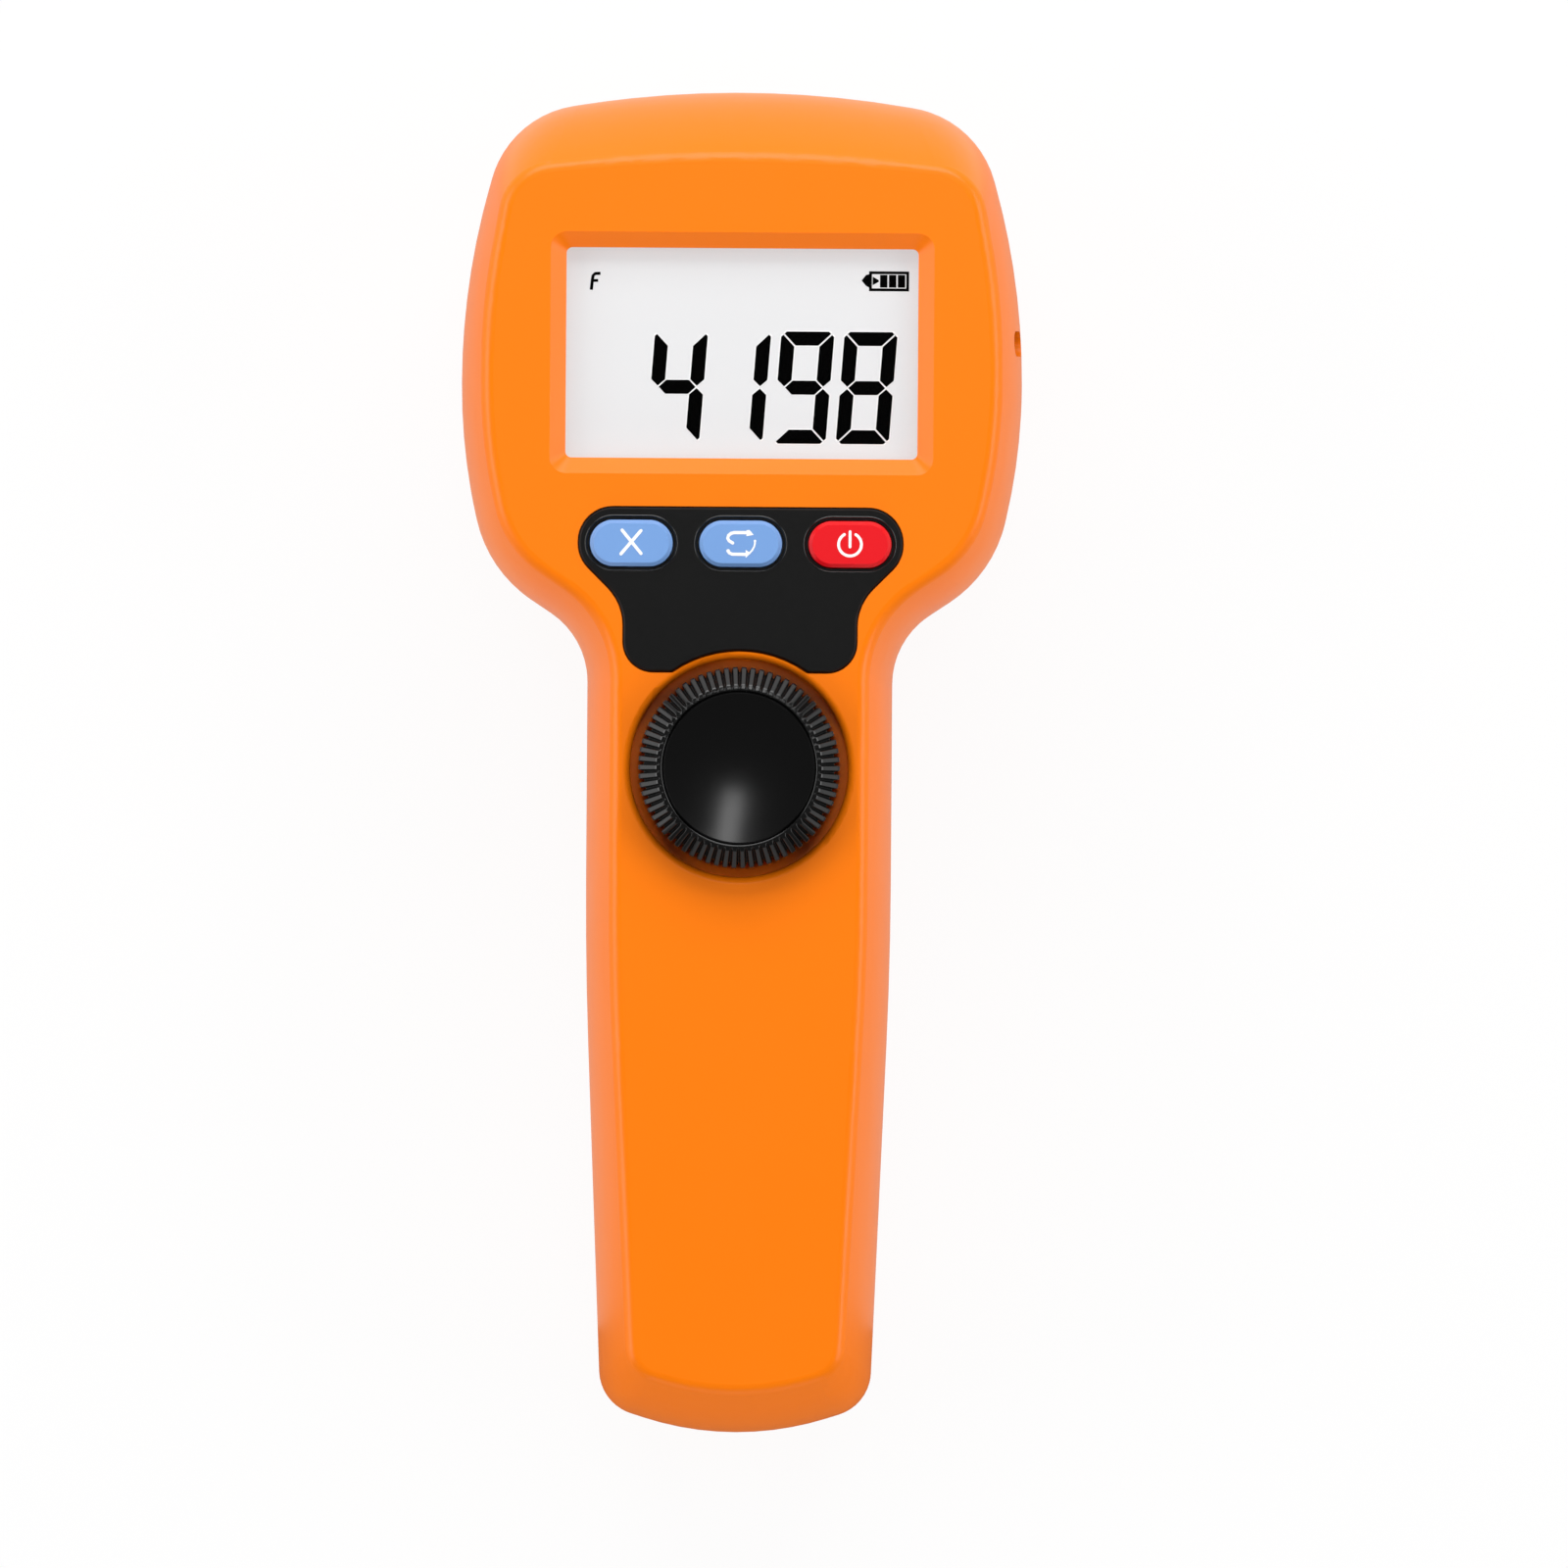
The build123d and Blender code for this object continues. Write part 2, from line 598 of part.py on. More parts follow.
with BuildPart() as display_cover:
    add(upper_solid)
    fillet(display_cover.faces().sort_by(Axis.Z)[-1].edges(), FACE_EDGE_RADIUS)
    add(upper_hollow, mode=Mode.SUBTRACT)
    with BuildSketch(Plane.XY.offset(PARTING_HEIGHT)):
        with BuildLine():
            draw_outline(inset_corners(WIDEST_CORNERS, WALL - LIP_THICKNESS - LIP_CLEARANCE))
        make_face()
    extrude(amount=LIP_HEIGHT + LIP_CLEARANCE, mode=Mode.SUBTRACT)
    # Cup that sinks the knob into the face, and the hole for the encoder's bushing
    with BuildSketch(Plane.XY.offset(ENCODER_TOP)):
        with Locations((0, KNOB_Y)):
            Circle(WELL_RADIUS + WELL_WALL)
    extrude(amount=INNER_FACE_HEIGHT - ENCODER_TOP)
    with BuildSketch(Plane.XY.offset(FACE_HEIGHT)):
        with Locations((0, KNOB_Y)):
            Circle(WELL_RADIUS)
    extrude(amount=-WELL_DEPTH, mode=Mode.SUBTRACT)
    well_edge = display_cover.edges().filter_by(GeomType.CIRCLE).group_by(Axis.Z)[-1]
    well_edge = well_edge.filter_by(lambda edge: abs(edge.radius - WELL_RADIUS) < TOLERANCE)
    fillet(well_edge, WELL_LIP_RADIUS)
    with BuildSketch(Plane.XY.offset(ENCODER_TOP)):
        with Locations((0, KNOB_Y)):
            Circle(BUSHING_RADIUS + BUSHING_CLEARANCE)
    extrude(amount=WELL_FLOOR, mode=Mode.SUBTRACT)
    # Sloping frame round the display and the opening in it
    with BuildSketch(Plane.XY.offset(FACE_HEIGHT)):
        with Locations((0, DISPLAY_Y)):
            RectangleRounded(
                OPENING_WIDTH + 2 * FRAME_BEVEL_WIDTH,
                OPENING_HEIGHT + 2 * FRAME_BEVEL_WIDTH,
                FRAME_CORNER_RADIUS,
            )
    with BuildSketch(Plane.XY.offset(FACE_HEIGHT - FRAME_BEVEL_DEPTH)):
        with Locations((0, DISPLAY_Y)):
            RectangleRounded(OPENING_WIDTH, OPENING_HEIGHT, OPENING_CORNER_RADIUS)
    loft(ruled=True, mode=Mode.SUBTRACT)
    with BuildSketch(Plane.XY.offset(INNER_FACE_HEIGHT)):
        with Locations((0, DISPLAY_Y)):
            RectangleRounded(OPENING_WIDTH, OPENING_HEIGHT, OPENING_CORNER_RADIUS)
    extrude(amount=FACE_WALL, mode=Mode.SUBTRACT)
    # Shallow pocket for the key panel and the three key holes under it
    with BuildSketch(Plane.XY.offset(PANEL_FLOOR)):
        offset(panel_outline.sketch, amount=PANEL_CLEARANCE)
    extrude(amount=PANEL_THICKNESS, mode=Mode.SUBTRACT)
    with BuildSketch(Plane.XY.offset(INNER_FACE_HEIGHT)):
        with Locations(*KEY_PLACES):
            SlotOverall(KEY_LENGTH + 2 * KEY_CLEARANCE, KEY_WIDTH + 2 * KEY_CLEARANCE)
    extrude(amount=FACE_WALL, mode=Mode.SUBTRACT)
    # Bosses for the case screws, standoffs for the board, ribs for battery and socket
    with BuildSketch(Plane.XY.offset(PARTING_HEIGHT)):
        with Locations(*CASE_PLACES):
            Circle(UPPER_BOSS_RADIUS)
    extrude(amount=INNER_FACE_HEIGHT - PARTING_HEIGHT)
    with BuildSketch(Plane.XY.offset(PARTING_HEIGHT)):
        with Locations(*CASE_PLACES):
            Circle(SCREW_RADIUS + SCREW_PILOT_CLEARANCE)
    extrude(
        amount=SCREW_SEAT_HEIGHT + SCREW_LENGTH + SCREW_END_GAP - PARTING_HEIGHT,
        mode=Mode.SUBTRACT,
    )
    with BuildSketch(Plane.XY.offset(BOARD_TOP)):
        with Locations(*STANDOFFS):
            Circle(STANDOFF_RADIUS)
    extrude(amount=INNER_FACE_HEIGHT - BOARD_TOP)
    with BuildSketch(Plane.XY.offset(BOARD_TOP)):
        with Locations(*STANDOFFS):
            Circle(BOARD_SCREW_RADIUS + SCREW_PILOT_CLEARANCE)
    extrude(amount=BOARD_SCREW_LENGTH - BOARD_THICKNESS + SCREW_END_GAP, mode=Mode.SUBTRACT)
    with BuildSketch(Plane.XY.offset(CRADLE_TOP)):
        with Locations(*((0, y) for y in CRADLE_RIB_PLACES)):
            Rectangle(2 * CRADLE_RIB_HALF_WIDTH, CRADLE_RIB_THICKNESS)
    extrude(amount=INNER_FACE_HEIGHT - CRADLE_TOP)
    with BuildSketch(Plane.XY.offset(CHARGE_RIB_BOTTOM)):
        with Locations((CHARGE_BOARD_INNER_X + CHARGE_RIB_INSET, CHARGE_RIB_TOP_Y)):
            Rectangle(
                CHARGE_BOARD_OUTER_X - CHARGE_BOARD_INNER_X - 2 * CHARGE_RIB_INSET,
                CHARGE_RIB_THICKNESS,
                align=(Align.MIN, Align.MAX),
            )
    extrude(amount=INNER_FACE_HEIGHT - CHARGE_RIB_BOTTOM)
    # Opening for the charging socket
    with BuildSketch(Plane.YZ.offset(SOCKET_BACK_X)):
        with Locations((SOCKET_Y, SOCKET_HEIGHT)):
            SlotOverall(
                SOCKET_WIDTH + 2 * SOCKET_CLEARANCE,
                SOCKET_THICKNESS + 2 * SOCKET_CLEARANCE,
                rotation=90,
            )
    extrude(amount=BEYOND, mode=Mode.SUBTRACT)
display_cover.part.label = "display_cover"


# Half of the case that holds the lamp and the battery
LOWER_HEIGHTS = (PARTING_HEIGHT, LOWER_MIDDLE_HEIGHT, 0.0)
with BuildPart() as lower_solid:
    add(lofted_case(LOWER_HEIGHTS, lower_corners, 0))
    add(below_back(0), mode=Mode.SUBTRACT)
    fillet(back_rim(lower_solid), BACK_EDGE_RADIUS)

with BuildPart() as lower_hollow:
    add(lofted_case(LOWER_HEIGHTS, lower_corners, WALL))
    add(below_back(WALL), mode=Mode.SUBTRACT)
    fillet(back_rim(lower_hollow), INNER_EDGE_RADIUS)

with BuildPart() as inner_posts:
    extrude(discs(0, BOSS_RADIUS, CASE_PLACES), amount=PARTING_HEIGHT)
    extrude(discs(0, LAMP_BOSS_RADIUS, LAMP_SCREW_PLACES), amount=HEAT_SINK_BOTTOM)
    with BuildSketch(Plane.XZ.offset(-BUSH_FACE_Y - BUSH_LENGTH - BUSH_BOSS_WALL)):
        with Locations((0, BUSH_HEIGHT)):
            Circle(BUSH_RADIUS + BUSH_BOSS_WALL)
    extrude(amount=BUSH_LENGTH + BUSH_BOSS_WALL)
    add(lower_solid.part, mode=Mode.INTERSECT)

with BuildPart() as lamp_cover:
    add(lower_solid.part)
    add(lower_hollow.part, mode=Mode.SUBTRACT)
    add(inner_posts.part)
    # Lip that enters the display cover along the parting
    with BuildSketch(Plane.XY.offset(PARTING_HEIGHT)):
        with BuildLine():
            draw_outline(inset_corners(WIDEST_CORNERS, WALL - LIP_THICKNESS))
        make_face()
        with BuildLine():
            draw_outline(inset_corners(WIDEST_CORNERS, WALL))
        make_face(mode=Mode.SUBTRACT)
    extrude(amount=LIP_HEIGHT)
    # Aperture of the lamp and the screw holes
    aperture = lamp_outline(
        0,
        NECK_WIDTH + 2 * APERTURE_CLEARANCE,
        NECK_HEIGHT + 2 * APERTURE_CLEARANCE,
        NECK_RADIUS + APERTURE_CLEARANCE,
    )
    extrude(aperture, amount=FLOOR_HEIGHT, mode=Mode.SUBTRACT)
    extrude(
        discs(0, SCREW_HEAD_RADIUS + SCREW_HEAD_CLEARANCE, CASE_PLACES),
        amount=SCREW_SEAT_HEIGHT,
        mode=Mode.SUBTRACT,
    )
    extrude(
        discs(0, SCREW_RADIUS + SCREW_BORE_CLEARANCE, CASE_PLACES),
        amount=PARTING_HEIGHT,
        mode=Mode.SUBTRACT,
    )
    extrude(
        discs(
            HEAT_SINK_TOP - LAMP_SCREW_LENGTH - SCREW_END_GAP,
            LAMP_SCREW_RADIUS + SCREW_PILOT_CLEARANCE,
            LAMP_SCREW_PLACES,
        ),
        amount=LAMP_SCREW_LENGTH,
        mode=Mode.SUBTRACT,
    )
    # Battery opening
    extrude(
        door_outline(GRIP_BACK_HEIGHT - WALL, DOOR_CLEARANCE), amount=2 * WALL, mode=Mode.SUBTRACT
    )
    # Bore of the tripod bush and the flat pocket round its mouth
    with BuildSketch(Plane.XZ.offset(-BUSH_FACE_Y - BUSH_LENGTH)):
        with Locations((0, BUSH_HEIGHT)):
            Circle(BUSH_RADIUS + BUSH_CLEARANCE)
    extrude(amount=BUSH_LENGTH, mode=Mode.SUBTRACT)
    with BuildSketch(Plane.XZ.offset(-BUSH_FACE_Y)):
        with Locations((0, BUSH_HEIGHT)):
            Circle(BUSH_RADIUS + BUSH_POCKET_MARGIN)
    extrude(amount=BEYOND, mode=Mode.SUBTRACT)
lamp_cover.part.label = "lamp_cover"

# Battery door: a tongue at its lower end hooks inside the case, and a screw holds the upper end
with BuildPart() as battery_door:
    extrude(door_outline(GRIP_BACK_HEIGHT, 0), amount=WALL)
    with BuildSketch(Plane.XY.offset(GRIP_FLOOR)):
        with Locations((0, DOOR_BOTTOM_Y - DOOR_TONGUE_REACH)):
            Rectangle(
                DOOR_TONGUE_WIDTH,
                DOOR_TONGUE_REACH + WALL,
                align=(Align.CENTER, Align.MIN),
            )
    extrude(amount=DOOR_TONGUE_THICKNESS)
    extrude(
        discs(
            GRIP_BACK_HEIGHT,
            DOOR_SCREW_HEAD_RADIUS + DOOR_SCREW_HEAD_CLEARANCE,
            [(0, DOOR_SCREW_Y)],
        ),
        amount=DOOR_SCREW_HEAD_HEIGHT,
        mode=Mode.SUBTRACT,
    )
    extrude(
        discs(GRIP_BACK_HEIGHT, DOOR_SCREW_RADIUS + SCREW_BORE_CLEARANCE, [(0, DOOR_SCREW_Y)]),
        amount=WALL,
        mode=Mode.SUBTRACT,
    )
battery_door.part.label = "battery_door"

# Screws
with BuildPart() as case_screws:
    add(
        screws(
            CASE_PLACES,
            SCREW_SEAT_HEIGHT,
            SCREW_RADIUS,
            SCREW_LENGTH,
            SCREW_HEAD_RADIUS,
            SCREW_HEAD_HEIGHT,
            True,
        )
    )
case_screws.part.label = "case_screws"

with BuildPart() as door_screw:
    add(
        screws(
            [(0, DOOR_SCREW_Y)],
            GRIP_BACK_HEIGHT + DOOR_SCREW_HEAD_HEIGHT,
            DOOR_SCREW_RADIUS,
            DOOR_SCREW_LENGTH,
            DOOR_SCREW_HEAD_RADIUS,
            DOOR_SCREW_HEAD_HEIGHT,
            True,
        )
    )
door_screw.part.label = "door_screw"

with BuildPart() as board_screws:
    add(
        screws(
            STANDOFFS,
            BOARD_BOTTOM,
            BOARD_SCREW_RADIUS,
            BOARD_SCREW_LENGTH,
            BOARD_SCREW_HEAD_RADIUS,
            BOARD_SCREW_HEAD_HEIGHT,
            True,
        )
    )
board_screws.part.label = "board_screws"

with BuildPart() as lamp_screws:
    add(
        screws(
            LAMP_SCREW_PLACES,
            HEAT_SINK_TOP,
            LAMP_SCREW_RADIUS,
            LAMP_SCREW_LENGTH,
            LAMP_SCREW_HEAD_RADIUS,
            LAMP_SCREW_HEAD_HEIGHT,
            False,
        )
    )
lamp_screws.part.label = "lamp_screws"

# Tripod bush
with BuildPart() as tripod_bush:
    with BuildSketch(Plane.XZ.offset(-BUSH_FACE_Y - BUSH_LENGTH)):
        with Locations((0, BUSH_HEIGHT)):
            Circle(BUSH_RADIUS)
    extrude(amount=BUSH_LENGTH)
    with BuildSketch(Plane.XZ.offset(-BUSH_FACE_Y)):
        with Locations((0, BUSH_HEIGHT)):
            Circle(BUSH_BORE_RADIUS)
    extrude(amount=-BUSH_BORE_DEPTH, mode=Mode.SUBTRACT)
    mouth = tripod_bush.edges().filter_by(GeomType.CIRCLE).group_by(Axis.Y)[0]
    chamfer(mouth.sort_by(SortBy.RADIUS)[0], BUSH_MOUTH_BEVEL)
tripod_bush.part.label = "tripod_bush"

# Display: window, liquid crystal cell, its holder and the rubber contact strips
with BuildPart() as lcd_window:
    with BuildSketch(Plane.XY.offset(WINDOW_BOTTOM)):
        with Locations((0, DISPLAY_Y)):
            RectangleRounded(
                OPENING_WIDTH + 2 * WINDOW_MARGIN,
                OPENING_HEIGHT + 2 * WINDOW_MARGIN,
                OPENING_CORNER_RADIUS,
            )
    extrude(amount=WINDOW_THICKNESS)
lcd_window.part.label = "lcd_window"

with BuildPart() as lcd_glass:
    with BuildSketch(Plane.XY.offset(CELL_GLASS_BOTTOM)):
        with Locations((0, DISPLAY_Y)):
            Rectangle(GLASS_WIDTH, GLASS_HEIGHT)
    extrude(amount=CELL_THICKNESS)
    with BuildSketch(Plane.XY.offset(WINDOW_BOTTOM)):
        with Locations((0, DISPLAY_Y + LEDGE_OFFSET), (0, DISPLAY_Y - LEDGE_OFFSET)):
            Rectangle(GLASS_WIDTH, CELL_LEDGE)
    extrude(amount=-CELL_LEDGE_DEPTH, mode=Mode.SUBTRACT)
lcd_glass.part.label = "lcd_glass"

with BuildPart() as lcd_holder:
    with BuildSketch(Plane.XY.offset(BOARD_TOP)):
        with Locations((0, DISPLAY_Y)):
            Rectangle(GLASS_WIDTH + 2 * HOLDER_RIM, GLASS_HEIGHT + 2 * HOLDER_RIM)
    extrude(amount=CELL_GLASS_BOTTOM + CELL_THICKNESS - CELL_LEDGE_DEPTH - BOARD_TOP)
    with BuildSketch(Plane.XY.offset(CELL_GLASS_BOTTOM)):
        with Locations((0, DISPLAY_Y)):
            Rectangle(GLASS_WIDTH, GLASS_HEIGHT)
    extrude(amount=CELL_THICKNESS, mode=Mode.SUBTRACT)
    with BuildSketch(Plane.XY.offset(BOARD_TOP)):
        with Locations((0, DISPLAY_Y + STRIP_OFFSET), (0, DISPLAY_Y - STRIP_OFFSET)):
            Rectangle(STRIP_LENGTH + 2 * STRIP_CLEARANCE, STRIP_WIDTH + 2 * STRIP_CLEARANCE)
    extrude(amount=CELL_GLASS_BOTTOM - BOARD_TOP, mode=Mode.SUBTRACT)
lcd_holder.part.label = "lcd_holder"

with BuildPart() as contact_strips:
    with BuildSketch(Plane.XY.offset(BOARD_TOP)):
        with Locations((0, DISPLAY_Y + STRIP_OFFSET), (0, DISPLAY_Y - STRIP_OFFSET)):
            Rectangle(STRIP_LENGTH, STRIP_WIDTH)
    extrude(amount=CELL_GLASS_BOTTOM - BOARD_TOP)
contact_strips.part.label = "contact_strips"

# Key panel and the three keys, each pressing a switch plunger of its own
with BuildPart() as key_panel:
    with BuildSketch(Plane.XY.offset(PANEL_FLOOR)):
        add(panel_outline.sketch)
        with Locations(*KEY_PLACES):
            SlotOverall(
                KEY_LENGTH + 2 * KEY_CLEARANCE, KEY_WIDTH + 2 * KEY_CLEARANCE, mode=Mode.SUBTRACT
            )
    extrude(amount=PANEL_THICKNESS)
    upper_face = key_panel.faces().sort_by(Axis.Z)[-1]
    chamfer(upper_face.outer_wire().edges(), PANEL_EDGE)
    with BuildSketch(Plane.XY.offset(PANEL_TOP)):
        with Locations(*KEY_PLACES):
            SlotOverall(
                KEY_LENGTH + 2 * (KEY_CLEARANCE + PANEL_RIM_WIDTH),
                KEY_WIDTH + 2 * (KEY_CLEARANCE + PANEL_RIM_WIDTH),
            )
    extrude(amount=-PANEL_RIM_DEPTH, mode=Mode.SUBTRACT)
key_panel.part.label = "key_panel"


def key(x):
    """One key: a bevelled cap that passes the panel, on a flange that the cover holds back."""
    with BuildPart() as cap:
        with BuildSketch(Plane.XY.offset(KEY_BOTTOM)):
            with Locations((x, KEY_Y)):
                SlotOverall(
                    KEY_LENGTH + 2 * KEY_FLANGE_MARGIN, KEY_WIDTH + 2 * KEY_FLANGE_MARGIN
                )
        extrude(amount=KEY_FLANGE_THICKNESS)
        with BuildSketch(Plane.XY.offset(KEY_FLANGE_TOP)):
            with Locations((x, KEY_Y)):
                SlotOverall(KEY_LENGTH, KEY_WIDTH)
        extrude(amount=KEY_TOP_HEIGHT - KEY_FLANGE_TOP)
        chamfer(cap.faces().sort_by(Axis.Z)[-1].edges(), KEY_BEVEL)
    return cap.part


def plunger(x):
    """One switch plunger, from inside its switch to the underside of its key."""
    with BuildPart() as pin:
        extrude(
            discs(
                BOARD_TOP + SWITCH_HEIGHT - PLUNGER_DEPTH + KEY_TRAVEL,
                PLUNGER_RADIUS,
                [(x, KEY_Y)],
            ),
            amount=KEY_BOTTOM - BOARD_TOP - SWITCH_HEIGHT + PLUNGER_DEPTH - KEY_TRAVEL,
        )
    return pin.part


keys = []
for name, x in zip(KEY_NAMES, KEY_XS):
    with BuildPart() as key_button:
        add(key(x))
    key_button.part.label = f"{name}_button"
    with BuildPart() as key_plunger:
        add(plunger(x))
    key_plunger.part.label = f"{name}_plunger"
    keys += [key_button, key_plunger]

with BuildPart() as tact_switches:
    with BuildSketch(Plane.XY.offset(BOARD_TOP)):
        with Locations(*KEY_PLACES):
            Rectangle(SWITCH_SIDE, SWITCH_SIDE)
    extrude(amount=SWITCH_HEIGHT)
    extrude(
        discs(
            BOARD_TOP + SWITCH_HEIGHT,
            PLUNGER_RADIUS + RUNNING_CLEARANCE,
            KEY_PLACES,
        ),
        amount=-(PLUNGER_DEPTH + 2 * RUNNING_CLEARANCE),
        mode=Mode.SUBTRACT,
    )
tact_switches.part.label = "tact_switches"

# Main board and what is soldered under it
with BuildPart() as main_board:
    with BuildSketch(Plane.XY.offset(BOARD_BOTTOM)):
        with BuildLine():
            Polyline(*BOARD_CORNERS, *((-x, y) for x, y in reversed(BOARD_CORNERS)), close=True)
        make_face()
        with Locations(*STANDOFFS):
            Circle(BOARD_SCREW_RADIUS + BOARD_HOLE_CLEARANCE, mode=Mode.SUBTRACT)
    extrude(amount=BOARD_THICKNESS)
main_board.part.label = "main_board"

with BuildPart() as microcontroller:
    with BuildSketch(Plane.XY.offset(BOARD_BOTTOM)):
        with Locations((0, DISPLAY_Y)):
            Rectangle(CONTROLLER_SIDE, CONTROLLER_SIDE)
    extrude(amount=-CONTROLLER_HEIGHT)
microcontroller.part.label = "microcontroller"

with BuildPart() as board_chips:
    with BuildSketch(Plane.XY.offset(BOARD_BOTTOM)):
        with Locations(*CHIP_PLACES):
            Rectangle(CHIP_LENGTH, CHIP_WIDTH)
    extrude(amount=-CHIP_HEIGHT)
    with BuildSketch(Plane.XY.offset(BOARD_BOTTOM)):
        with Locations(COIL_PLACE):
            RectangleRounded(COIL_SIDE, COIL_SIDE, COIL_CORNER_RADIUS)
    extrude(amount=-COIL_HEIGHT)
board_chips.part.label = "board_chips"

# Rotary encoder under the knob
with BuildPart() as encoder_body:
    with BuildSketch(Plane.XY.offset(BOARD_TOP)):
        with Locations(*KNOB_PLACE):
            Rectangle(ENCODER_SIDE, ENCODER_SIDE)
    extrude(amount=ENCODER_HEIGHT)
    extrude(
        discs(BOARD_TOP + ENCODER_BASE, SHAFT_RADIUS + RUNNING_CLEARANCE, KNOB_PLACE),
        amount=ENCODER_HEIGHT,
        mode=Mode.SUBTRACT,
    )
encoder_body.part.label = "encoder_body"

with BuildPart() as encoder_bushing:
    with BuildSketch(Plane.XY.offset(ENCODER_TOP)):
        with Locations(*KNOB_PLACE):
            Circle(BUSHING_RADIUS)
            Circle(SHAFT_RADIUS + RUNNING_CLEARANCE, mode=Mode.SUBTRACT)
    extrude(amount=BUSHING_LENGTH)
encoder_bushing.part.label = "encoder_bushing"

with BuildPart() as encoder_washer:
    with BuildSketch(Plane.XY.offset(WELL_FLOOR_HEIGHT)):
        with Locations(*KNOB_PLACE):
            Circle(WASHER_RADIUS)
            Circle(BUSHING_RADIUS + BUSHING_CLEARANCE, mode=Mode.SUBTRACT)
    extrude(amount=WASHER_THICKNESS)
encoder_washer.part.label = "encoder_washer"

with BuildPart() as encoder_nut:
    with BuildSketch(Plane.XY.offset(WELL_FLOOR_HEIGHT + WASHER_THICKNESS)):
        with Locations(*KNOB_PLACE):
            RegularPolygon(NUT_ACROSS_FLATS / 2, 6, major_radius=False)
            Circle(BUSHING_RADIUS + THREAD_CLEARANCE, mode=Mode.SUBTRACT)
    extrude(amount=NUT_THICKNESS)
encoder_nut.part.label = "encoder_nut"


def flatted_disc(height, radius):
    """The shaft's section above its flat: a disc cut straight on one side."""
    with BuildSketch(Plane.XY.offset(height)) as section:
        with Locations(*KNOB_PLACE):
            Circle(radius)
        with Locations((0, KNOB_Y + radius - SHAFT_FLAT)):
            Rectangle(2 * radius, radius, align=(Align.CENTER, Align.MIN), mode=Mode.SUBTRACT)
    return section.sketch


with BuildPart() as encoder_shaft:
    extrude(discs(SHAFT_BOTTOM, SHAFT_RADIUS, KNOB_PLACE), amount=HUB_BOTTOM - SHAFT_BOTTOM)
    extrude(flatted_disc(HUB_BOTTOM, SHAFT_RADIUS), amount=SHAFT_TOP - HUB_BOTTOM)
encoder_shaft.part.label = "encoder_shaft"


def ribbed_disc(height, radius, depth):
    """A disc whose rim is cut into pointed ribs of the given depth."""
    half_pitch = pi / KNOB_RIBS
    points = [
        (
            (radius - depth * (i % 2)) * cos(i * half_pitch),
            KNOB_Y + (radius - depth * (i % 2)) * sin(i * half_pitch),
        )
        for i in range(2 * KNOB_RIBS)
    ]
    with BuildSketch(Plane.XY.offset(height)) as disc:
        with BuildLine():
            Polyline(*points, close=True)
        make_face()
    return disc.sketch


# Knob: ribs run up the skirt and over the bevel to the seat of the cap
KNOB_ROOF_BOTTOM = CAP_SEAT - KNOB_ROOF
with BuildPart() as knob:
    extrude(ribbed_disc(KNOB_BOTTOM, KNOB_RADIUS, RIB_DEPTH), amount=KNOB_SKIRT_HEIGHT)
    loft(
        [
            ribbed_disc(KNOB_SKIRT_TOP, KNOB_RADIUS, RIB_DEPTH).face(),
            ribbed_disc(KNOB_TOP, KNOB_TOP_RADIUS, RIB_TOP_DEPTH).face(),
        ],
        ruled=True,
    )
    extrude(
        discs(CAP_SEAT, CAP_RADIUS + CAP_CLEARANCE, KNOB_PLACE),
        amount=CAP_THICKNESS,
        mode=Mode.SUBTRACT,
    )
    with BuildSketch(Plane.XY.offset(KNOB_BOTTOM)):
        with Locations(*KNOB_PLACE):
            Circle(KNOB_RADIUS - RIB_DEPTH - KNOB_WALL)
    with BuildSketch(Plane.XY.offset(KNOB_ROOF_BOTTOM)):
        with Locations(*KNOB_PLACE):
            Circle(KNOB_TOP_RADIUS - RIB_TOP_DEPTH - KNOB_WALL)
    loft(ruled=True, mode=Mode.SUBTRACT)
    extrude(discs(HUB_BOTTOM, HUB_RADIUS, KNOB_PLACE), amount=CAP_SEAT - HUB_BOTTOM)
    extrude(
        flatted_disc(HUB_BOTTOM, SHAFT_RADIUS + THREAD_CLEARANCE),
        amount=SHAFT_FLAT_LENGTH + SHAFT_END_GAP,
        mode=Mode.SUBTRACT,
    )
knob.part.label = "knob"

with BuildPart() as knob_cap:
    with BuildSketch(Plane.XZ.offset(-KNOB_Y)):
        with BuildLine():
            rim = (CAP_RADIUS - CAP_EDGE, KNOB_TOP)
            middle = (0, KNOB_TOP - CAP_DISH)
            TangentArc(middle, rim, tangent=(1, 0))
            Polyline(
                rim,
                (CAP_RADIUS, KNOB_TOP - CAP_EDGE),
                (CAP_RADIUS, CAP_SEAT),
                (0, CAP_SEAT),
                middle,
            )
        make_face()
    revolve(axis=Axis((0, KNOB_Y, 0), (0, 0, 1)))
knob_cap.part.label = "knob_cap"

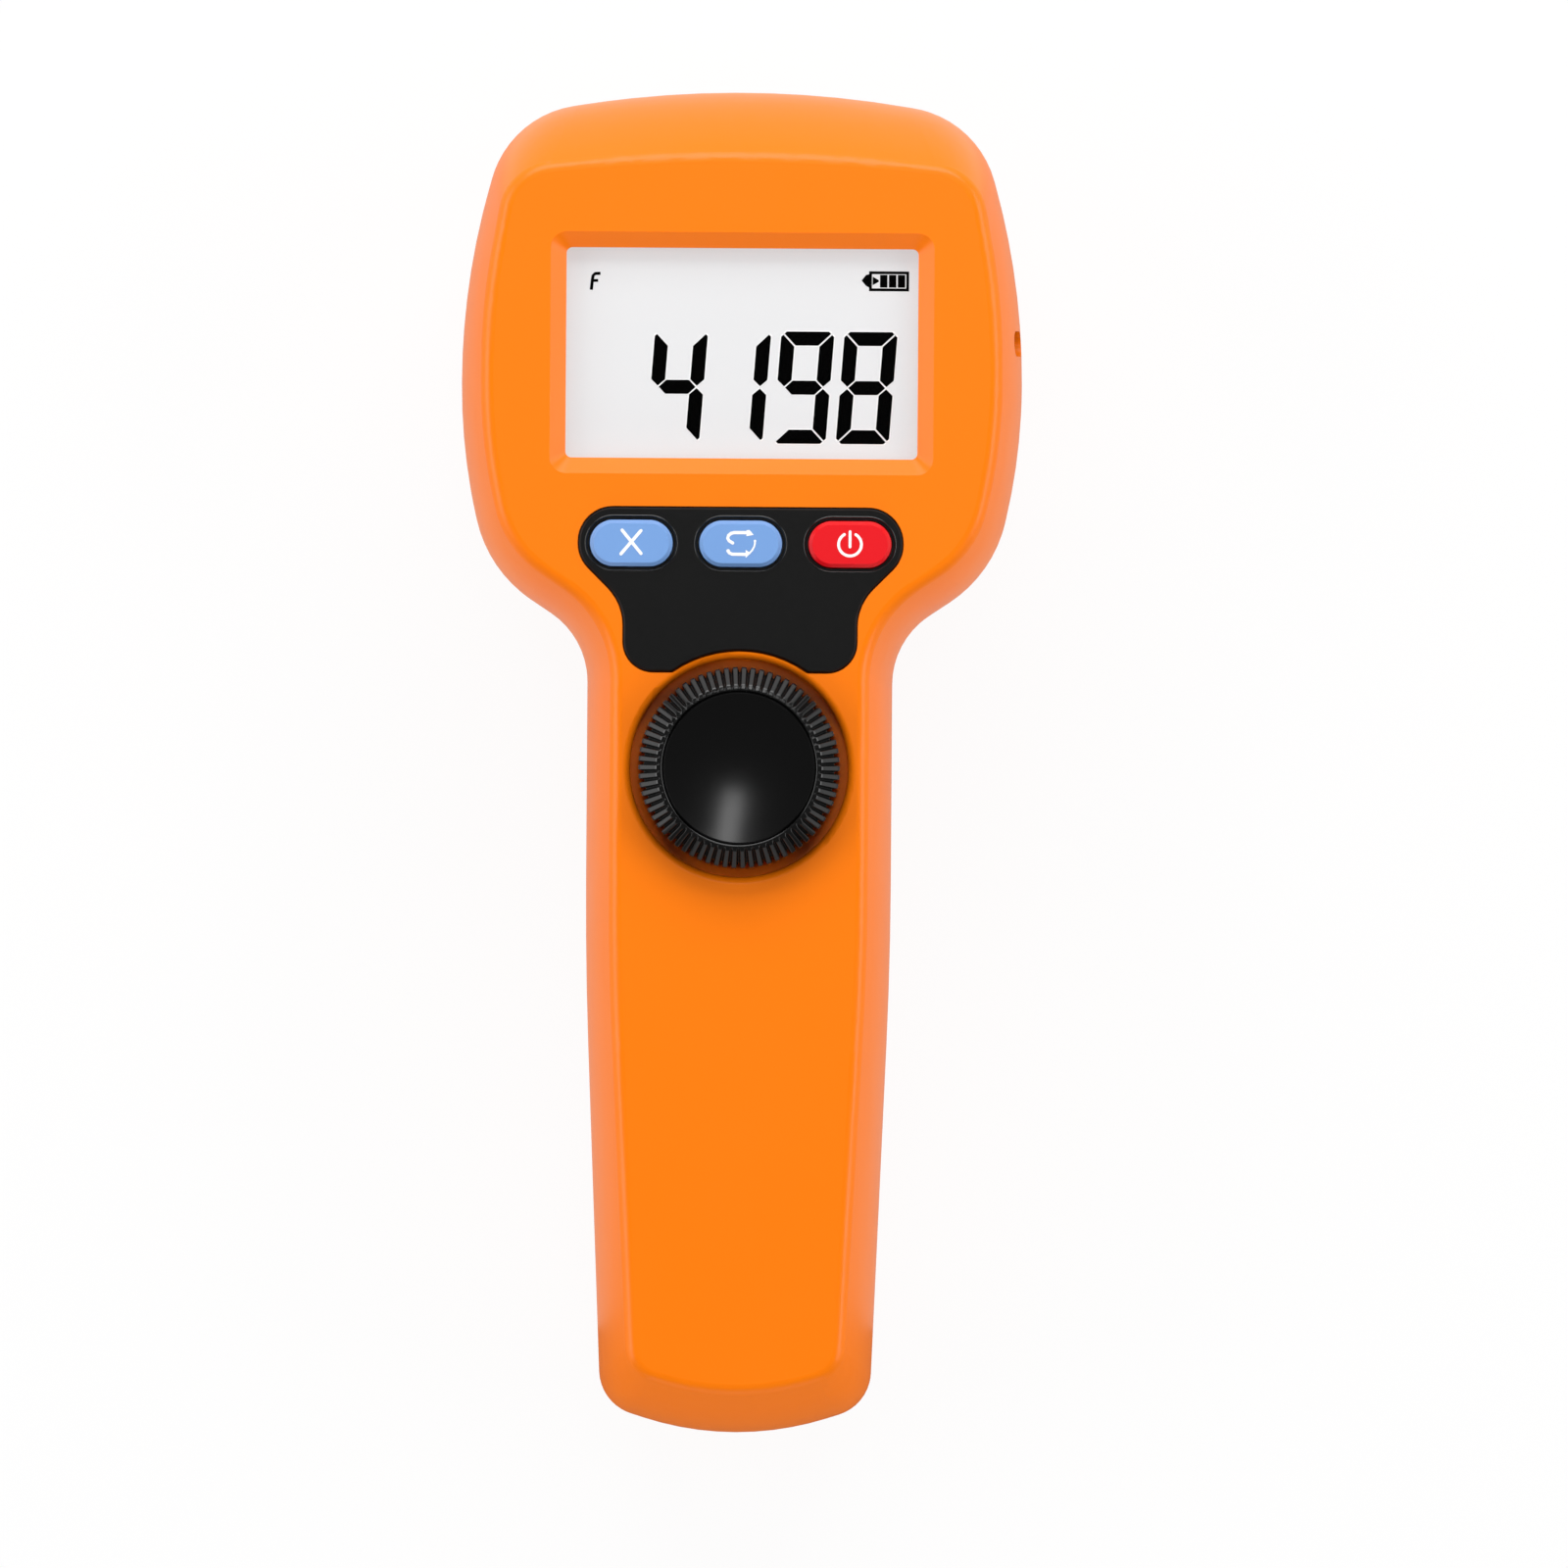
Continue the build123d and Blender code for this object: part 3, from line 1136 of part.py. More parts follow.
# Lamp, from the outside in: bezel, gasket, lens, reflector, light sources and heat sink
with BuildPart() as lamp_bezel:
    flange = lamp_outline(
        0,
        NECK_WIDTH + 2 * BEZEL_FLANGE_WIDTH,
        NECK_HEIGHT + 2 * BEZEL_FLANGE_WIDTH,
        NECK_RADIUS + BEZEL_FLANGE_WIDTH,
    )
    extrude(flange, amount=HEAD_BACK_HEIGHT)
    chamfer(lamp_bezel.faces().sort_by(Axis.Z)[0].edges(), BEZEL_EDGE)
    extrude(
        lamp_outline(0, NECK_WIDTH, NECK_HEIGHT, NECK_RADIUS),
        amount=FLOOR_HEIGHT + BEZEL_NECK_RISE,
    )
    extrude(
        lamp_outline(BEZEL_LEDGE_THICKNESS, SEAT_WIDTH, SEAT_HEIGHT, SEAT_RADIUS),
        amount=FLOOR_HEIGHT,
        mode=Mode.SUBTRACT,
    )
    ledge_width = LENS_WIDTH - 2 * BEZEL_LEDGE
    ledge_height = LENS_HEIGHT - 2 * BEZEL_LEDGE
    ledge_radius = LENS_CORNER_RADIUS - BEZEL_LEDGE
    extrude(
        lamp_outline(0, ledge_width, ledge_height, ledge_radius),
        amount=FLOOR_HEIGHT,
        mode=Mode.SUBTRACT,
    )
    loft(
        [
            lamp_outline(
                0,
                ledge_width + 2 * BEZEL_BEVEL,
                ledge_height + 2 * BEZEL_BEVEL,
                ledge_radius + BEZEL_BEVEL,
            ).face(),
            lamp_outline(BEZEL_BEVEL, ledge_width, ledge_height, ledge_radius).face(),
        ],
        ruled=True,
        mode=Mode.SUBTRACT,
    )
lamp_bezel.part.label = "lamp_bezel"

with BuildPart() as lens_gasket:
    with BuildSketch(Plane.XY.offset(GASKET_BOTTOM)):
        with Locations((0, LAMP_Y)):
            RectangleRounded(LENS_WIDTH, LENS_HEIGHT, LENS_CORNER_RADIUS)
            RectangleRounded(
                LENS_WIDTH - 2 * GASKET_WIDTH,
                LENS_HEIGHT - 2 * GASKET_WIDTH,
                LENS_CORNER_RADIUS - GASKET_WIDTH,
                mode=Mode.SUBTRACT,
            )
    extrude(amount=GASKET_THICKNESS)
lens_gasket.part.label = "lens_gasket"

with BuildPart() as lamp_lens:
    extrude(
        lamp_outline(LENS_BOTTOM, LENS_WIDTH, LENS_HEIGHT, LENS_CORNER_RADIUS),
        amount=LENS_THICKNESS,
    )
lamp_lens.part.label = "lamp_lens"

# Paraboloid cup: radius squared grows evenly with depth, so its section is one quadratic curve
CUP_RISE = (CUP_MOUTH_RADIUS - CUP_THROAT_RADIUS) * CUP_THROAT_RADIUS * REFLECTOR_DEPTH
CUP_RISE /= CUP_MOUTH_RADIUS**2 - CUP_THROAT_RADIUS**2
with BuildPart() as cup:
    with BuildSketch(Plane.XZ):
        with BuildLine():
            Bezier(
                (CUP_THROAT_RADIUS, LED_BOARD_BOTTOM),
                ((CUP_THROAT_RADIUS + CUP_MOUTH_RADIUS) / 2, LED_BOARD_BOTTOM - CUP_RISE),
                (CUP_MOUTH_RADIUS, REFLECTOR_BOTTOM),
            )
            Polyline(
                (CUP_MOUTH_RADIUS, REFLECTOR_BOTTOM),
                (0, REFLECTOR_BOTTOM),
                (0, LED_BOARD_BOTTOM),
                (CUP_THROAT_RADIUS, LED_BOARD_BOTTOM),
            )
        make_face()
    revolve(axis=Axis.Z)

with BuildPart() as reflector:
    extrude(
        lamp_outline(
            REFLECTOR_BOTTOM,
            LENS_WIDTH - 2 * REFLECTOR_MARGIN,
            LENS_HEIGHT - 2 * REFLECTOR_MARGIN,
            LENS_CORNER_RADIUS - REFLECTOR_MARGIN,
        ),
        amount=REFLECTOR_DEPTH,
    )
    with Locations((0, LAMP_Y, 0)):
        with GridLocations(CUP_PITCH, CUP_PITCH, CUP_COLUMNS, CUP_ROWS):
            add(cup.part, mode=Mode.SUBTRACT)
reflector.part.label = "reflector"

with BuildPart() as led_board:
    extrude(
        lamp_outline(LED_BOARD_BOTTOM, LENS_WIDTH, LENS_HEIGHT, LENS_CORNER_RADIUS),
        amount=LED_BOARD_THICKNESS,
    )
led_board.part.label = "led_board"

with BuildPart() as led_emitters:
    with BuildSketch(Plane.XY.offset(LED_BOARD_BOTTOM)):
        with Locations((0, LAMP_Y)):
            with GridLocations(CUP_PITCH, CUP_PITCH, CUP_COLUMNS, CUP_ROWS):
                Rectangle(LED_SIDE, LED_SIDE)
    extrude(amount=-LED_HEIGHT)
led_emitters.part.label = "led_emitters"

with BuildPart() as heat_sink:
    with BuildSketch(Plane.XY.offset(HEAT_SINK_BOTTOM)):
        with Locations((0, LAMP_Y)):
            Rectangle(HEAT_SINK_WIDTH, HEAT_SINK_HEIGHT)
        with Locations(*LAMP_SCREW_PLACES):
            Circle(LAMP_SCREW_RADIUS + LAMP_SCREW_CLEARANCE, mode=Mode.SUBTRACT)
    extrude(amount=HEAT_SINK_BASE)
    with BuildSketch(Plane.XY.offset(HEAT_SINK_TOP)):
        with Locations((0, LAMP_Y)):
            with GridLocations(FIN_PITCH, 0, FIN_COUNT, 1):
                Rectangle(FIN_THICKNESS, HEAT_SINK_HEIGHT)
    extrude(amount=FIN_HEIGHT)
heat_sink.part.label = "heat_sink"

# Battery, its cradle and its two contacts
with BuildPart() as battery_cell:
    with BuildSketch(Plane.XZ.offset(-CELL_TOP_Y)):
        with Locations((0, CELL_HEIGHT)):
            Circle(CELL_RADIUS)
    extrude(amount=CELL_LENGTH)
    chamfer(battery_cell.edges().filter_by(GeomType.CIRCLE), CELL_EDGE)
battery_cell.part.label = "battery_cell"

with BuildPart() as battery_holder:
    with BuildSketch(Plane.XY.offset(GRIP_FLOOR)):
        with Locations((0, CRADLE_INNER_TOP_Y + CRADLE_END)):
            Rectangle(
                2 * (CRADLE_HALF_WIDTH + CRADLE_FLANGE_WIDTH),
                CRADLE_INNER_TOP_Y - CRADLE_INNER_BOTTOM_Y + 2 * CRADLE_END,
                align=(Align.CENTER, Align.MAX),
            )
    extrude(amount=CRADLE_FLANGE_THICKNESS)
    with BuildSketch(Plane.XY.offset(GRIP_FLOOR)):
        with Locations((0, CRADLE_INNER_TOP_Y + CRADLE_END)):
            Rectangle(
                2 * CRADLE_HALF_WIDTH,
                CRADLE_INNER_TOP_Y - CRADLE_INNER_BOTTOM_Y + 2 * CRADLE_END,
                align=(Align.CENTER, Align.MAX),
            )
    extrude(amount=CRADLE_TOP - GRIP_FLOOR)
    with BuildSketch(Plane.XZ.offset(-CRADLE_INNER_TOP_Y)):
        with Locations((0, CELL_HEIGHT)):
            Circle(CRADLE_RADIUS)
            Rectangle(2 * CRADLE_RADIUS, BEYOND, align=(Align.CENTER, Align.MAX))
    extrude(amount=CRADLE_INNER_TOP_Y - CRADLE_INNER_BOTTOM_Y, mode=Mode.SUBTRACT)
    # Notches that let the door's tongue and the case's own floor pass under the end walls
    with BuildSketch(Plane.XY.offset(GRIP_FLOOR)):
        with Locations((0, CRADLE_INNER_BOTTOM_Y)):
            Rectangle(DOOR_TONGUE_WIDTH + 2 * DOOR_CLEARANCE, 2 * CRADLE_END)
    extrude(amount=DOOR_TONGUE_THICKNESS + DOOR_CLEARANCE, mode=Mode.SUBTRACT)
    # Holes that let the leads out through the end walls
    for wall_y, lead_x in (
        (CRADLE_INNER_TOP_Y + CRADLE_END, 0),
        (CRADLE_INNER_BOTTOM_Y, SPRING_RADIUS),
    ):
        with BuildSketch(Plane.XZ.offset(-wall_y)):
            with Locations((lead_x, CELL_HEIGHT)):
                Circle(LEAD_RADIUS + LEAD_HOLE_CLEARANCE)
        extrude(amount=CRADLE_END, mode=Mode.SUBTRACT)
    # Post that takes the door's screw
    with BuildSketch(Plane.XY.offset(GRIP_FLOOR)):
        with Locations((0, DOOR_POST_END_Y)):
            Rectangle(
                2 * DOOR_POST_HALF_WIDTH,
                DOOR_POST_END_Y - CRADLE_INNER_TOP_Y - CRADLE_END / 2,
                align=(Align.CENTER, Align.MAX),
            )
    extrude(amount=DOOR_POST_HEIGHT)
    extrude(
        discs(GRIP_FLOOR, DOOR_SCREW_RADIUS + SCREW_PILOT_CLEARANCE, [(0, DOOR_SCREW_Y)]),
        amount=DOOR_SCREW_LENGTH,
        mode=Mode.SUBTRACT,
    )
battery_holder.part.label = "battery_holder"

with BuildPart() as battery_contact:
    with BuildSketch(Plane.XZ.offset(-CRADLE_INNER_TOP_Y)):
        with Locations((0, CELL_HEIGHT)):
            Rectangle(CONTACT_SIDE, CONTACT_SIDE)
    extrude(amount=CONTACT_THICKNESS)
battery_contact.part.label = "battery_contact"

# Conical coil spring: it winds inwards as it comes away from the end wall
coil_points = []
for step in range(int(SPRING_TURNS * SPRING_STEPS) + 1):
    turned = 2 * pi * step / SPRING_STEPS
    share = step / (SPRING_TURNS * SPRING_STEPS)
    coil_radius = SPRING_RADIUS + (SPRING_TIP_RADIUS - SPRING_RADIUS) * share
    coil_y = SPRING_BASE_Y + (SPRING_LENGTH - 2 * SPRING_WIRE_RADIUS) * share
    coil_points.append(
        (coil_radius * cos(turned), coil_y, CELL_HEIGHT + coil_radius * sin(turned))
    )
with BuildPart() as battery_spring:
    with BuildLine() as coil:
        Spline(*coil_points)
    with BuildSketch(Plane(origin=coil.line @ 0, z_dir=coil.line % 0)):
        Circle(SPRING_WIRE_RADIUS)
    sweep(is_frenet=True)
battery_spring.part.label = "battery_spring"

# Charging socket and the small upright board that carries it
SOCKET_PLANE = Plane.YZ.offset(SOCKET_BACK_X)
with BuildPart() as charge_socket:
    with BuildSketch(SOCKET_PLANE):
        with Locations((SOCKET_Y, SOCKET_HEIGHT)):
            SlotOverall(SOCKET_WIDTH, SOCKET_THICKNESS, rotation=90)
    extrude(amount=SOCKET_LENGTH)
    with BuildSketch(SOCKET_PLANE.offset(SOCKET_BACK)):
        with Locations((SOCKET_Y, SOCKET_HEIGHT)):
            SlotOverall(
                SOCKET_WIDTH - 2 * SOCKET_WALL, SOCKET_THICKNESS - 2 * SOCKET_WALL, rotation=90
            )
    extrude(amount=SOCKET_LENGTH, mode=Mode.SUBTRACT)
    with BuildSketch(SOCKET_PLANE):
        with Locations((SOCKET_Y, SOCKET_HEIGHT)):
            Rectangle(SOCKET_TONGUE_THICKNESS, SOCKET_TONGUE_WIDTH)
    extrude(amount=SOCKET_BACK + SOCKET_TONGUE_LENGTH)
charge_socket.part.label = "charge_socket"

with BuildPart() as charge_board:
    with BuildSketch(Plane.XZ.offset(-CHARGE_BOARD_TOP_Y)):
        with Locations((CHARGE_BOARD_INNER_X, SOCKET_HEIGHT)):
            Rectangle(
                CHARGE_BOARD_OUTER_X - CHARGE_BOARD_INNER_X,
                CHARGE_BOARD_WIDTH,
                align=(Align.MIN, Align.CENTER),
            )
    extrude(amount=CHARGE_BOARD_THICKNESS)
charge_board.part.label = "charge_board"


def lead(points):
    """A round wire along straight runs joined by bends of one radius."""
    with BuildPart() as wire:
        with BuildLine() as path:
            FilletPolyline(*points, radius=LEAD_BEND)
        with BuildSketch(Plane(origin=path.line @ 0, z_dir=path.line % 0)):
            Circle(LEAD_RADIUS)
        sweep()
    return wire.part


# Leads: from the lamp's board, and from both ends of the cell, to the underside of the main board
LAMP_LEAD_Y = LAMP_Y - LENS_HEIGHT / 2 - LAMP_LEAD_REACH
LAMP_LEAD_HEIGHT = LED_BOARD_BOTTOM + LED_BOARD_THICKNESS / 2
LEAD_RUN_X = CRADLE_HALF_WIDTH + BATTERY_LEAD_SIDE_GAP
LEAD_RUN_END_Y = CRADLE_INNER_BOTTOM_Y - CRADLE_END - BATTERY_LEAD_END_GAP
with BuildPart() as lamp_lead_plus:
    add(
        lead(
            [
                (LAMP_LEAD_X, LAMP_Y - LENS_HEIGHT / 2, LAMP_LEAD_HEIGHT),
                (LAMP_LEAD_X, LAMP_LEAD_Y, LAMP_LEAD_HEIGHT),
                (LAMP_LEAD_X, LAMP_LEAD_Y, BOARD_BOTTOM),
            ]
        )
    )
lamp_lead_plus.part.label = "lamp_lead_plus"

with BuildPart() as lamp_lead_minus:
    mirror(lamp_lead_plus.part, about=Plane.YZ)
lamp_lead_minus.part.label = "lamp_lead_minus"

with BuildPart() as battery_lead_plus:
    add(
        lead(
            [
                (0, CRADLE_INNER_TOP_Y, CELL_HEIGHT),
                (0, BATTERY_LEAD_RISE_Y, CELL_HEIGHT),
                (0, BATTERY_LEAD_RISE_Y, BOARD_BOTTOM),
            ]
        )
    )
battery_lead_plus.part.label = "battery_lead_plus"

with BuildPart() as battery_lead_minus:
    add(
        lead(
            [
                (SPRING_RADIUS, CRADLE_INNER_BOTTOM_Y, CELL_HEIGHT),
                (SPRING_RADIUS, LEAD_RUN_END_Y, CELL_HEIGHT),
                (LEAD_RUN_X, LEAD_RUN_END_Y, CELL_HEIGHT),
                (LEAD_RUN_X, BATTERY_LEAD_RISE_Y, CELL_HEIGHT),
                (BATTERY_LEAD_END_X, BATTERY_LEAD_RISE_Y, CELL_HEIGHT),
                (BATTERY_LEAD_END_X, BATTERY_LEAD_RISE_Y, BOARD_BOTTOM),
            ]
        )
    )
battery_lead_minus.part.label = "battery_lead_minus"

pieces = [
    display_cover,
    lamp_cover,
    battery_door,
    case_screws,
    door_screw,
    board_screws,
    lamp_screws,
    tripod_bush,
    lcd_window,
    lcd_glass,
    lcd_holder,
    contact_strips,
    key_panel,
    *keys,
    tact_switches,
    main_board,
    microcontroller,
    board_chips,
    encoder_body,
    encoder_bushing,
    encoder_washer,
    encoder_nut,
    encoder_shaft,
    knob,
    knob_cap,
    lamp_bezel,
    lens_gasket,
    lamp_lens,
    reflector,
    led_board,
    led_emitters,
    heat_sink,
    battery_cell,
    battery_holder,
    battery_contact,
    battery_spring,
    charge_socket,
    charge_board,
    lamp_lead_plus,
    lamp_lead_minus,
    battery_lead_plus,
    battery_lead_minus,
]
os.makedirs("parts", exist_ok=True)
for piece in pieces:
    export_step(piece.part, f"parts/{piece.part.label}.step")
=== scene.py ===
import logging
from dataclasses import dataclass, field
from enum import Enum
from math import pi, radians, tan

import bpy
import numpy as np
from bpy.types import Material, Node, NodeSocket, NodeTree, Object
from mathutils import Euler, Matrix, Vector


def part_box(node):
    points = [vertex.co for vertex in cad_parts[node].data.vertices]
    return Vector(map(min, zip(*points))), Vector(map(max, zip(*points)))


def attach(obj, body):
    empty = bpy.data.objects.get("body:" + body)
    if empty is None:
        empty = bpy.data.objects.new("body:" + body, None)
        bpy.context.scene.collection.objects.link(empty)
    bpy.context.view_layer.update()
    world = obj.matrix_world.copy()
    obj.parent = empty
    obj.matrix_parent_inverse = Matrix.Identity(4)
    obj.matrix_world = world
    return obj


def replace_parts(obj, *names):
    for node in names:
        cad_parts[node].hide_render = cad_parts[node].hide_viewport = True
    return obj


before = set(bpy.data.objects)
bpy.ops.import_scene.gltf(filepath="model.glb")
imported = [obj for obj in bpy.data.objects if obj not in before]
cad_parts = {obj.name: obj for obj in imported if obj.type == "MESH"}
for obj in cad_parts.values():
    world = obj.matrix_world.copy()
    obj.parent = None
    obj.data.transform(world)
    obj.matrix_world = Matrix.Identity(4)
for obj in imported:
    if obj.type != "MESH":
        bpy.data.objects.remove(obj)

LOG = logging.getLogger("stroboscope")
MM = 0.001
MICRON = 0.001 * MM
PARTING_HEIGHT = 26 * MM
CORNER_POINTS = 13
DOT_CORNERS = 16
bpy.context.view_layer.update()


def linear(colour: str) -> tuple[float, float, float, float]:
    """Turns an sRGB hex colour into the linear one that shaders take.

    Args:
        colour: six hex digits after a hash.

    Returns:
        Red, green, blue and an alpha of 1, all linear.
    """
    shares = np.array([int(colour[i : i + 2], 16) for i in (1, 3, 5)]) / 255
    low, high = shares / 12.92, ((shares + 0.055) / 1.055) ** 2.4
    return (*np.where(shares <= 0.04045, low, high).tolist(), 1.0)


def add_node(tree: NodeTree, kind: str, inputs: dict | None = None, **options) -> Node:
    """Adds one node to a tree, with its settings and what feeds it.

    Args:
        tree: the node tree of a material or of the world.
        kind: the type of node, as Blender names it after the words ShaderNode.
        inputs: for each socket's name or number a value, or another node's output to link.
        options: the node's own settings.

    Returns:
        The new node.
    """
    node = tree.nodes.new(f"ShaderNode{kind}")
    for name, value in options.items():
        setattr(node, name, value)
    for name, value in (inputs or {}).items():
        if isinstance(value, NodeSocket):
            tree.links.new(value, node.inputs[name])
        else:
            node.inputs[name].default_value = value
    return node


def new_material(name: str) -> tuple[Material, NodeTree, NodeSocket]:
    """Starts a material with an empty tree.

    Args:
        name: the material's name.

    Returns:
        The material, its node tree and the socket that gives Object coordinates.
    """
    material = bpy.data.materials.new(name)
    material.use_nodes = True
    material.node_tree.nodes.clear()
    place = add_node(material.node_tree, "TexCoord").outputs["Object"]
    return material, material.node_tree, place


class Gloss(Enum):
    """Roughness of a moulded surface, by how its mould was finished."""

    POLISHED = 0.16
    SATIN = 0.33
    ETCHED = 0.36
    MATT = 0.7


@dataclass(frozen=True)
class MouldedPlastic:
    """Injection-moulded plastic: one colour right through, with the fine grain of the mould.

    The index starts from 1.53 and is matched to the object: lower where grain scatters the shine, higher
    on an edge worn smooth. The roughness changes slowly, over about the length of the drift.
    """

    name: str
    colour: str
    gloss: Gloss
    grain: float = 0.5 * MM
    depth: float = 0.012 * MM
    drift: float = 1 / 60
    ior: float = 1.53
    unevenness: float = 0.05
    seam_height: float | None = None
    seam_colour: str = "#8A3A05"
    seam_width: float = 0.22 * MM

    def seam(self, tree: NodeTree, place: NodeSocket) -> NodeSocket:
        """Draws the fine line where two shells of a case meet.

        Args:
            tree: the material's tree.
            place: its Object coordinates.

        Returns:
            The colour: dark within half the line's width of the height of the seam.
        """
        height = add_node(tree, "SeparateXYZ", {0: place}).outputs["Z"]
        away = add_node(tree, "Math", {0: height, 1: self.seam_height}, operation="SUBTRACT")
        away = add_node(tree, "Math", {0: away.outputs[0]}, operation="ABSOLUTE")
        beside = add_node(
            tree,
            "MapRange",
            {"Value": away.outputs[0], "From Min": self.seam_width / 4, "From Max": self.seam_width / 2},
        )
        colour = add_node(
            tree,
            "Mix",
            {"Factor": beside.outputs["Result"], 6: linear(self.seam_colour), 7: linear(self.colour)},
            data_type="RGBA",
        )
        return colour.outputs[2]

    def material(self) -> Material:
        """Builds the shader.

        Returns:
            The material, with grain as bump and slow changes of roughness as a mould leaves them.
        """
        material, tree, place = new_material(self.name)
        colour = linear(self.colour) if self.seam_height is None else self.seam(tree, place)
        # A real etched grain is near 0.05 mm, so it is drawn several times coarser to show at all
        grain = add_node(tree, "TexNoise", {"Vector": place, "Scale": 1 / self.grain, "Detail": 2.0})
        relief = {"Height": grain.outputs["Fac"], "Strength": 0.35, "Distance": self.depth}
        normal = add_node(tree, "Bump", relief).outputs["Normal"]
        drift = add_node(tree, "TexNoise", {"Vector": place, "Scale": 1 / self.drift, "Detail": 3.0})
        low, high = self.gloss.value - self.unevenness, self.gloss.value + self.unevenness
        limits = {"Value": drift.outputs["Fac"], "To Min": low, "To Max": high}
        rough = add_node(tree, "MapRange", limits).outputs["Result"]
        inputs = {"Base Color": colour, "Roughness": rough, "IOR": self.ior, "Normal": normal}
        shader = add_node(tree, "BsdfPrincipled", inputs)
        add_node(tree, "OutputMaterial", {"Surface": shader.outputs["BSDF"]})
        return material


@dataclass(frozen=True)
class Metal:
    """A metal surface whose tool marks or plating show as a fine uneven roughness.

    Real marks are finer than 0.1 mm. They are drawn coarser, so that they show.
    """

    name: str
    colour: str
    roughness: float
    grain: float = 0.3 * MM
    fineness: tuple[float, float, float] = (1.0, 1.0, 1.0)
    depth: float = 0.01 * MM
    spread: tuple[float, float] = (0.7, 1.4)

    def material(self) -> Material:
        """Builds the shader.

        Returns:
            The material, with marks that are shorter along an axis of higher fineness.
        """
        material, tree, place = new_material(self.name)
        lie = add_node(tree, "Mapping", {"Vector": place, "Scale": self.fineness})
        pattern = {"Vector": lie.outputs["Vector"], "Scale": 1 / self.grain, "Detail": 3.0}
        marks = add_node(tree, "TexNoise", pattern).outputs["Fac"]
        low, high = self.roughness * self.spread[0], self.roughness * self.spread[1]
        rough = add_node(tree, "MapRange", {"Value": marks, "To Min": low, "To Max": high}).outputs["Result"]
        relief = {"Height": marks, "Strength": 0.4, "Distance": self.depth}
        normal = add_node(tree, "Bump", relief).outputs["Normal"]
        inputs = {"Base Color": linear(self.colour), "Metallic": 1.0, "Roughness": rough, "Normal": normal}
        shader = add_node(tree, "BsdfPrincipled", inputs)
        add_node(tree, "OutputMaterial", {"Surface": shader.outputs["BSDF"]})
        return material


@dataclass(frozen=True)
class ClearAcrylic:
    """Polished clear acrylic sheet: it hardly tints what lies behind and mirrors a little of the light."""

    name: str
    tint: str = "#FFFFFF"
    roughness: float = 0.03
    mirror_share: float = 0.006
    edge_power: float = 7.0

    def material(self) -> Material:
        """Builds the shader.

        Returns:
            The material: a see-through sheet that mirrors a small share of the light, and more of it the
            flatter the view, as a high power of how edge-on the face is seen.
        """
        material, tree, _ = new_material(self.name)
        through = add_node(tree, "BsdfTransparent", {"Color": linear(self.tint)})
        gloss = add_node(tree, "BsdfAnisotropic", {"Roughness": self.roughness})
        facing = add_node(tree, "LayerWeight").outputs["Facing"]
        edge = add_node(tree, "Math", {0: facing, 1: self.edge_power}, operation="POWER")
        share = add_node(
            tree, "MapRange", {"Value": edge.outputs[0], "To Min": self.mirror_share, "To Max": 1.0}
        )
        mix = add_node(
            tree,
            "MixShader",
            {0: share.outputs["Result"], 1: through.outputs["BSDF"], 2: gloss.outputs["BSDF"]},
        )
        add_node(tree, "OutputMaterial", {"Surface": mix.outputs["Shader"]})
        return material


@dataclass(frozen=True)
class CircuitBoard:
    """Glass-fibre board under solder mask, with copper tracks that show as slightly paler lines.

    Real tracks lie about 0.5 mm apart and are drawn coarser. A track's edge is given in shares of a cell.
    """

    name: str
    mask: str
    track: str
    pitch: float = 1.6 * MM
    track_edge: tuple[float, float] = (0.05, 0.09)

    def material(self) -> Material:
        """Builds the shader.

        Returns:
            The material, with tracks drawn as the edges of uneven cells.
        """
        material, tree, place = new_material(self.name)
        cells = add_node(
            tree,
            "TexVoronoi",
            {"Vector": place, "Scale": 1 / self.pitch, "Randomness": 0.6},
            feature="DISTANCE_TO_EDGE",
        )
        low, high = self.track_edge
        limits = {"Value": cells.outputs["Distance"], "From Min": low, "From Max": high}
        line = add_node(tree, "MapRange", limits)
        colour = add_node(
            tree,
            "Mix",
            {"Factor": line.outputs["Result"], 6: linear(self.track), 7: linear(self.mask)},
            data_type="RGBA",
        )
        inputs = {"Base Color": colour.outputs[2], "Roughness": 0.35, "IOR": 1.5}
        shader = add_node(tree, "BsdfPrincipled", inputs)
        add_node(tree, "OutputMaterial", {"Surface": shader.outputs["BSDF"]})
        return material


@dataclass(frozen=True)
class LiquidCrystal:
    """The pale grey field of a reflective liquid crystal cell, with a weak glow that is painted light.

    The real mottle is near 0.1 mm and is drawn coarser, so that it shows.
    """

    name: str
    colour: str
    light: str
    glow: float
    mottle: float = 1.5 * MM
    mottle_shade: float = 0.985

    def material(self) -> Material:
        """Builds the shader.

        Returns:
            The material, an even field with the faint mottle of its rear reflector.
        """
        material, tree, place = new_material(self.name)
        mottle = add_node(tree, "TexNoise", {"Vector": place, "Scale": 1 / self.mottle, "Detail": 4.0})
        limits = {"Value": mottle.outputs["Fac"], "To Min": self.mottle_shade, "To Max": 1.0}
        shade = add_node(tree, "MapRange", limits)
        colour = add_node(
            tree,
            "Mix",
            {"Factor": 1.0, 6: linear(self.colour), 7: shade.outputs["Result"]},
            data_type="RGBA",
            blend_type="MULTIPLY",
        )
        # The emission is painted light: the cell has no lamp of its own, and the glow keeps the field evenly
        # pale up to its edges
        inputs = {
            "Base Color": colour.outputs[2],
            "Roughness": 0.6,
            "Emission Color": linear(self.light),
            "Emission Strength": self.glow,
        }
        shader = add_node(tree, "BsdfPrincipled", inputs)
        add_node(tree, "OutputMaterial", {"Surface": shader.outputs["BSDF"]})
        return material


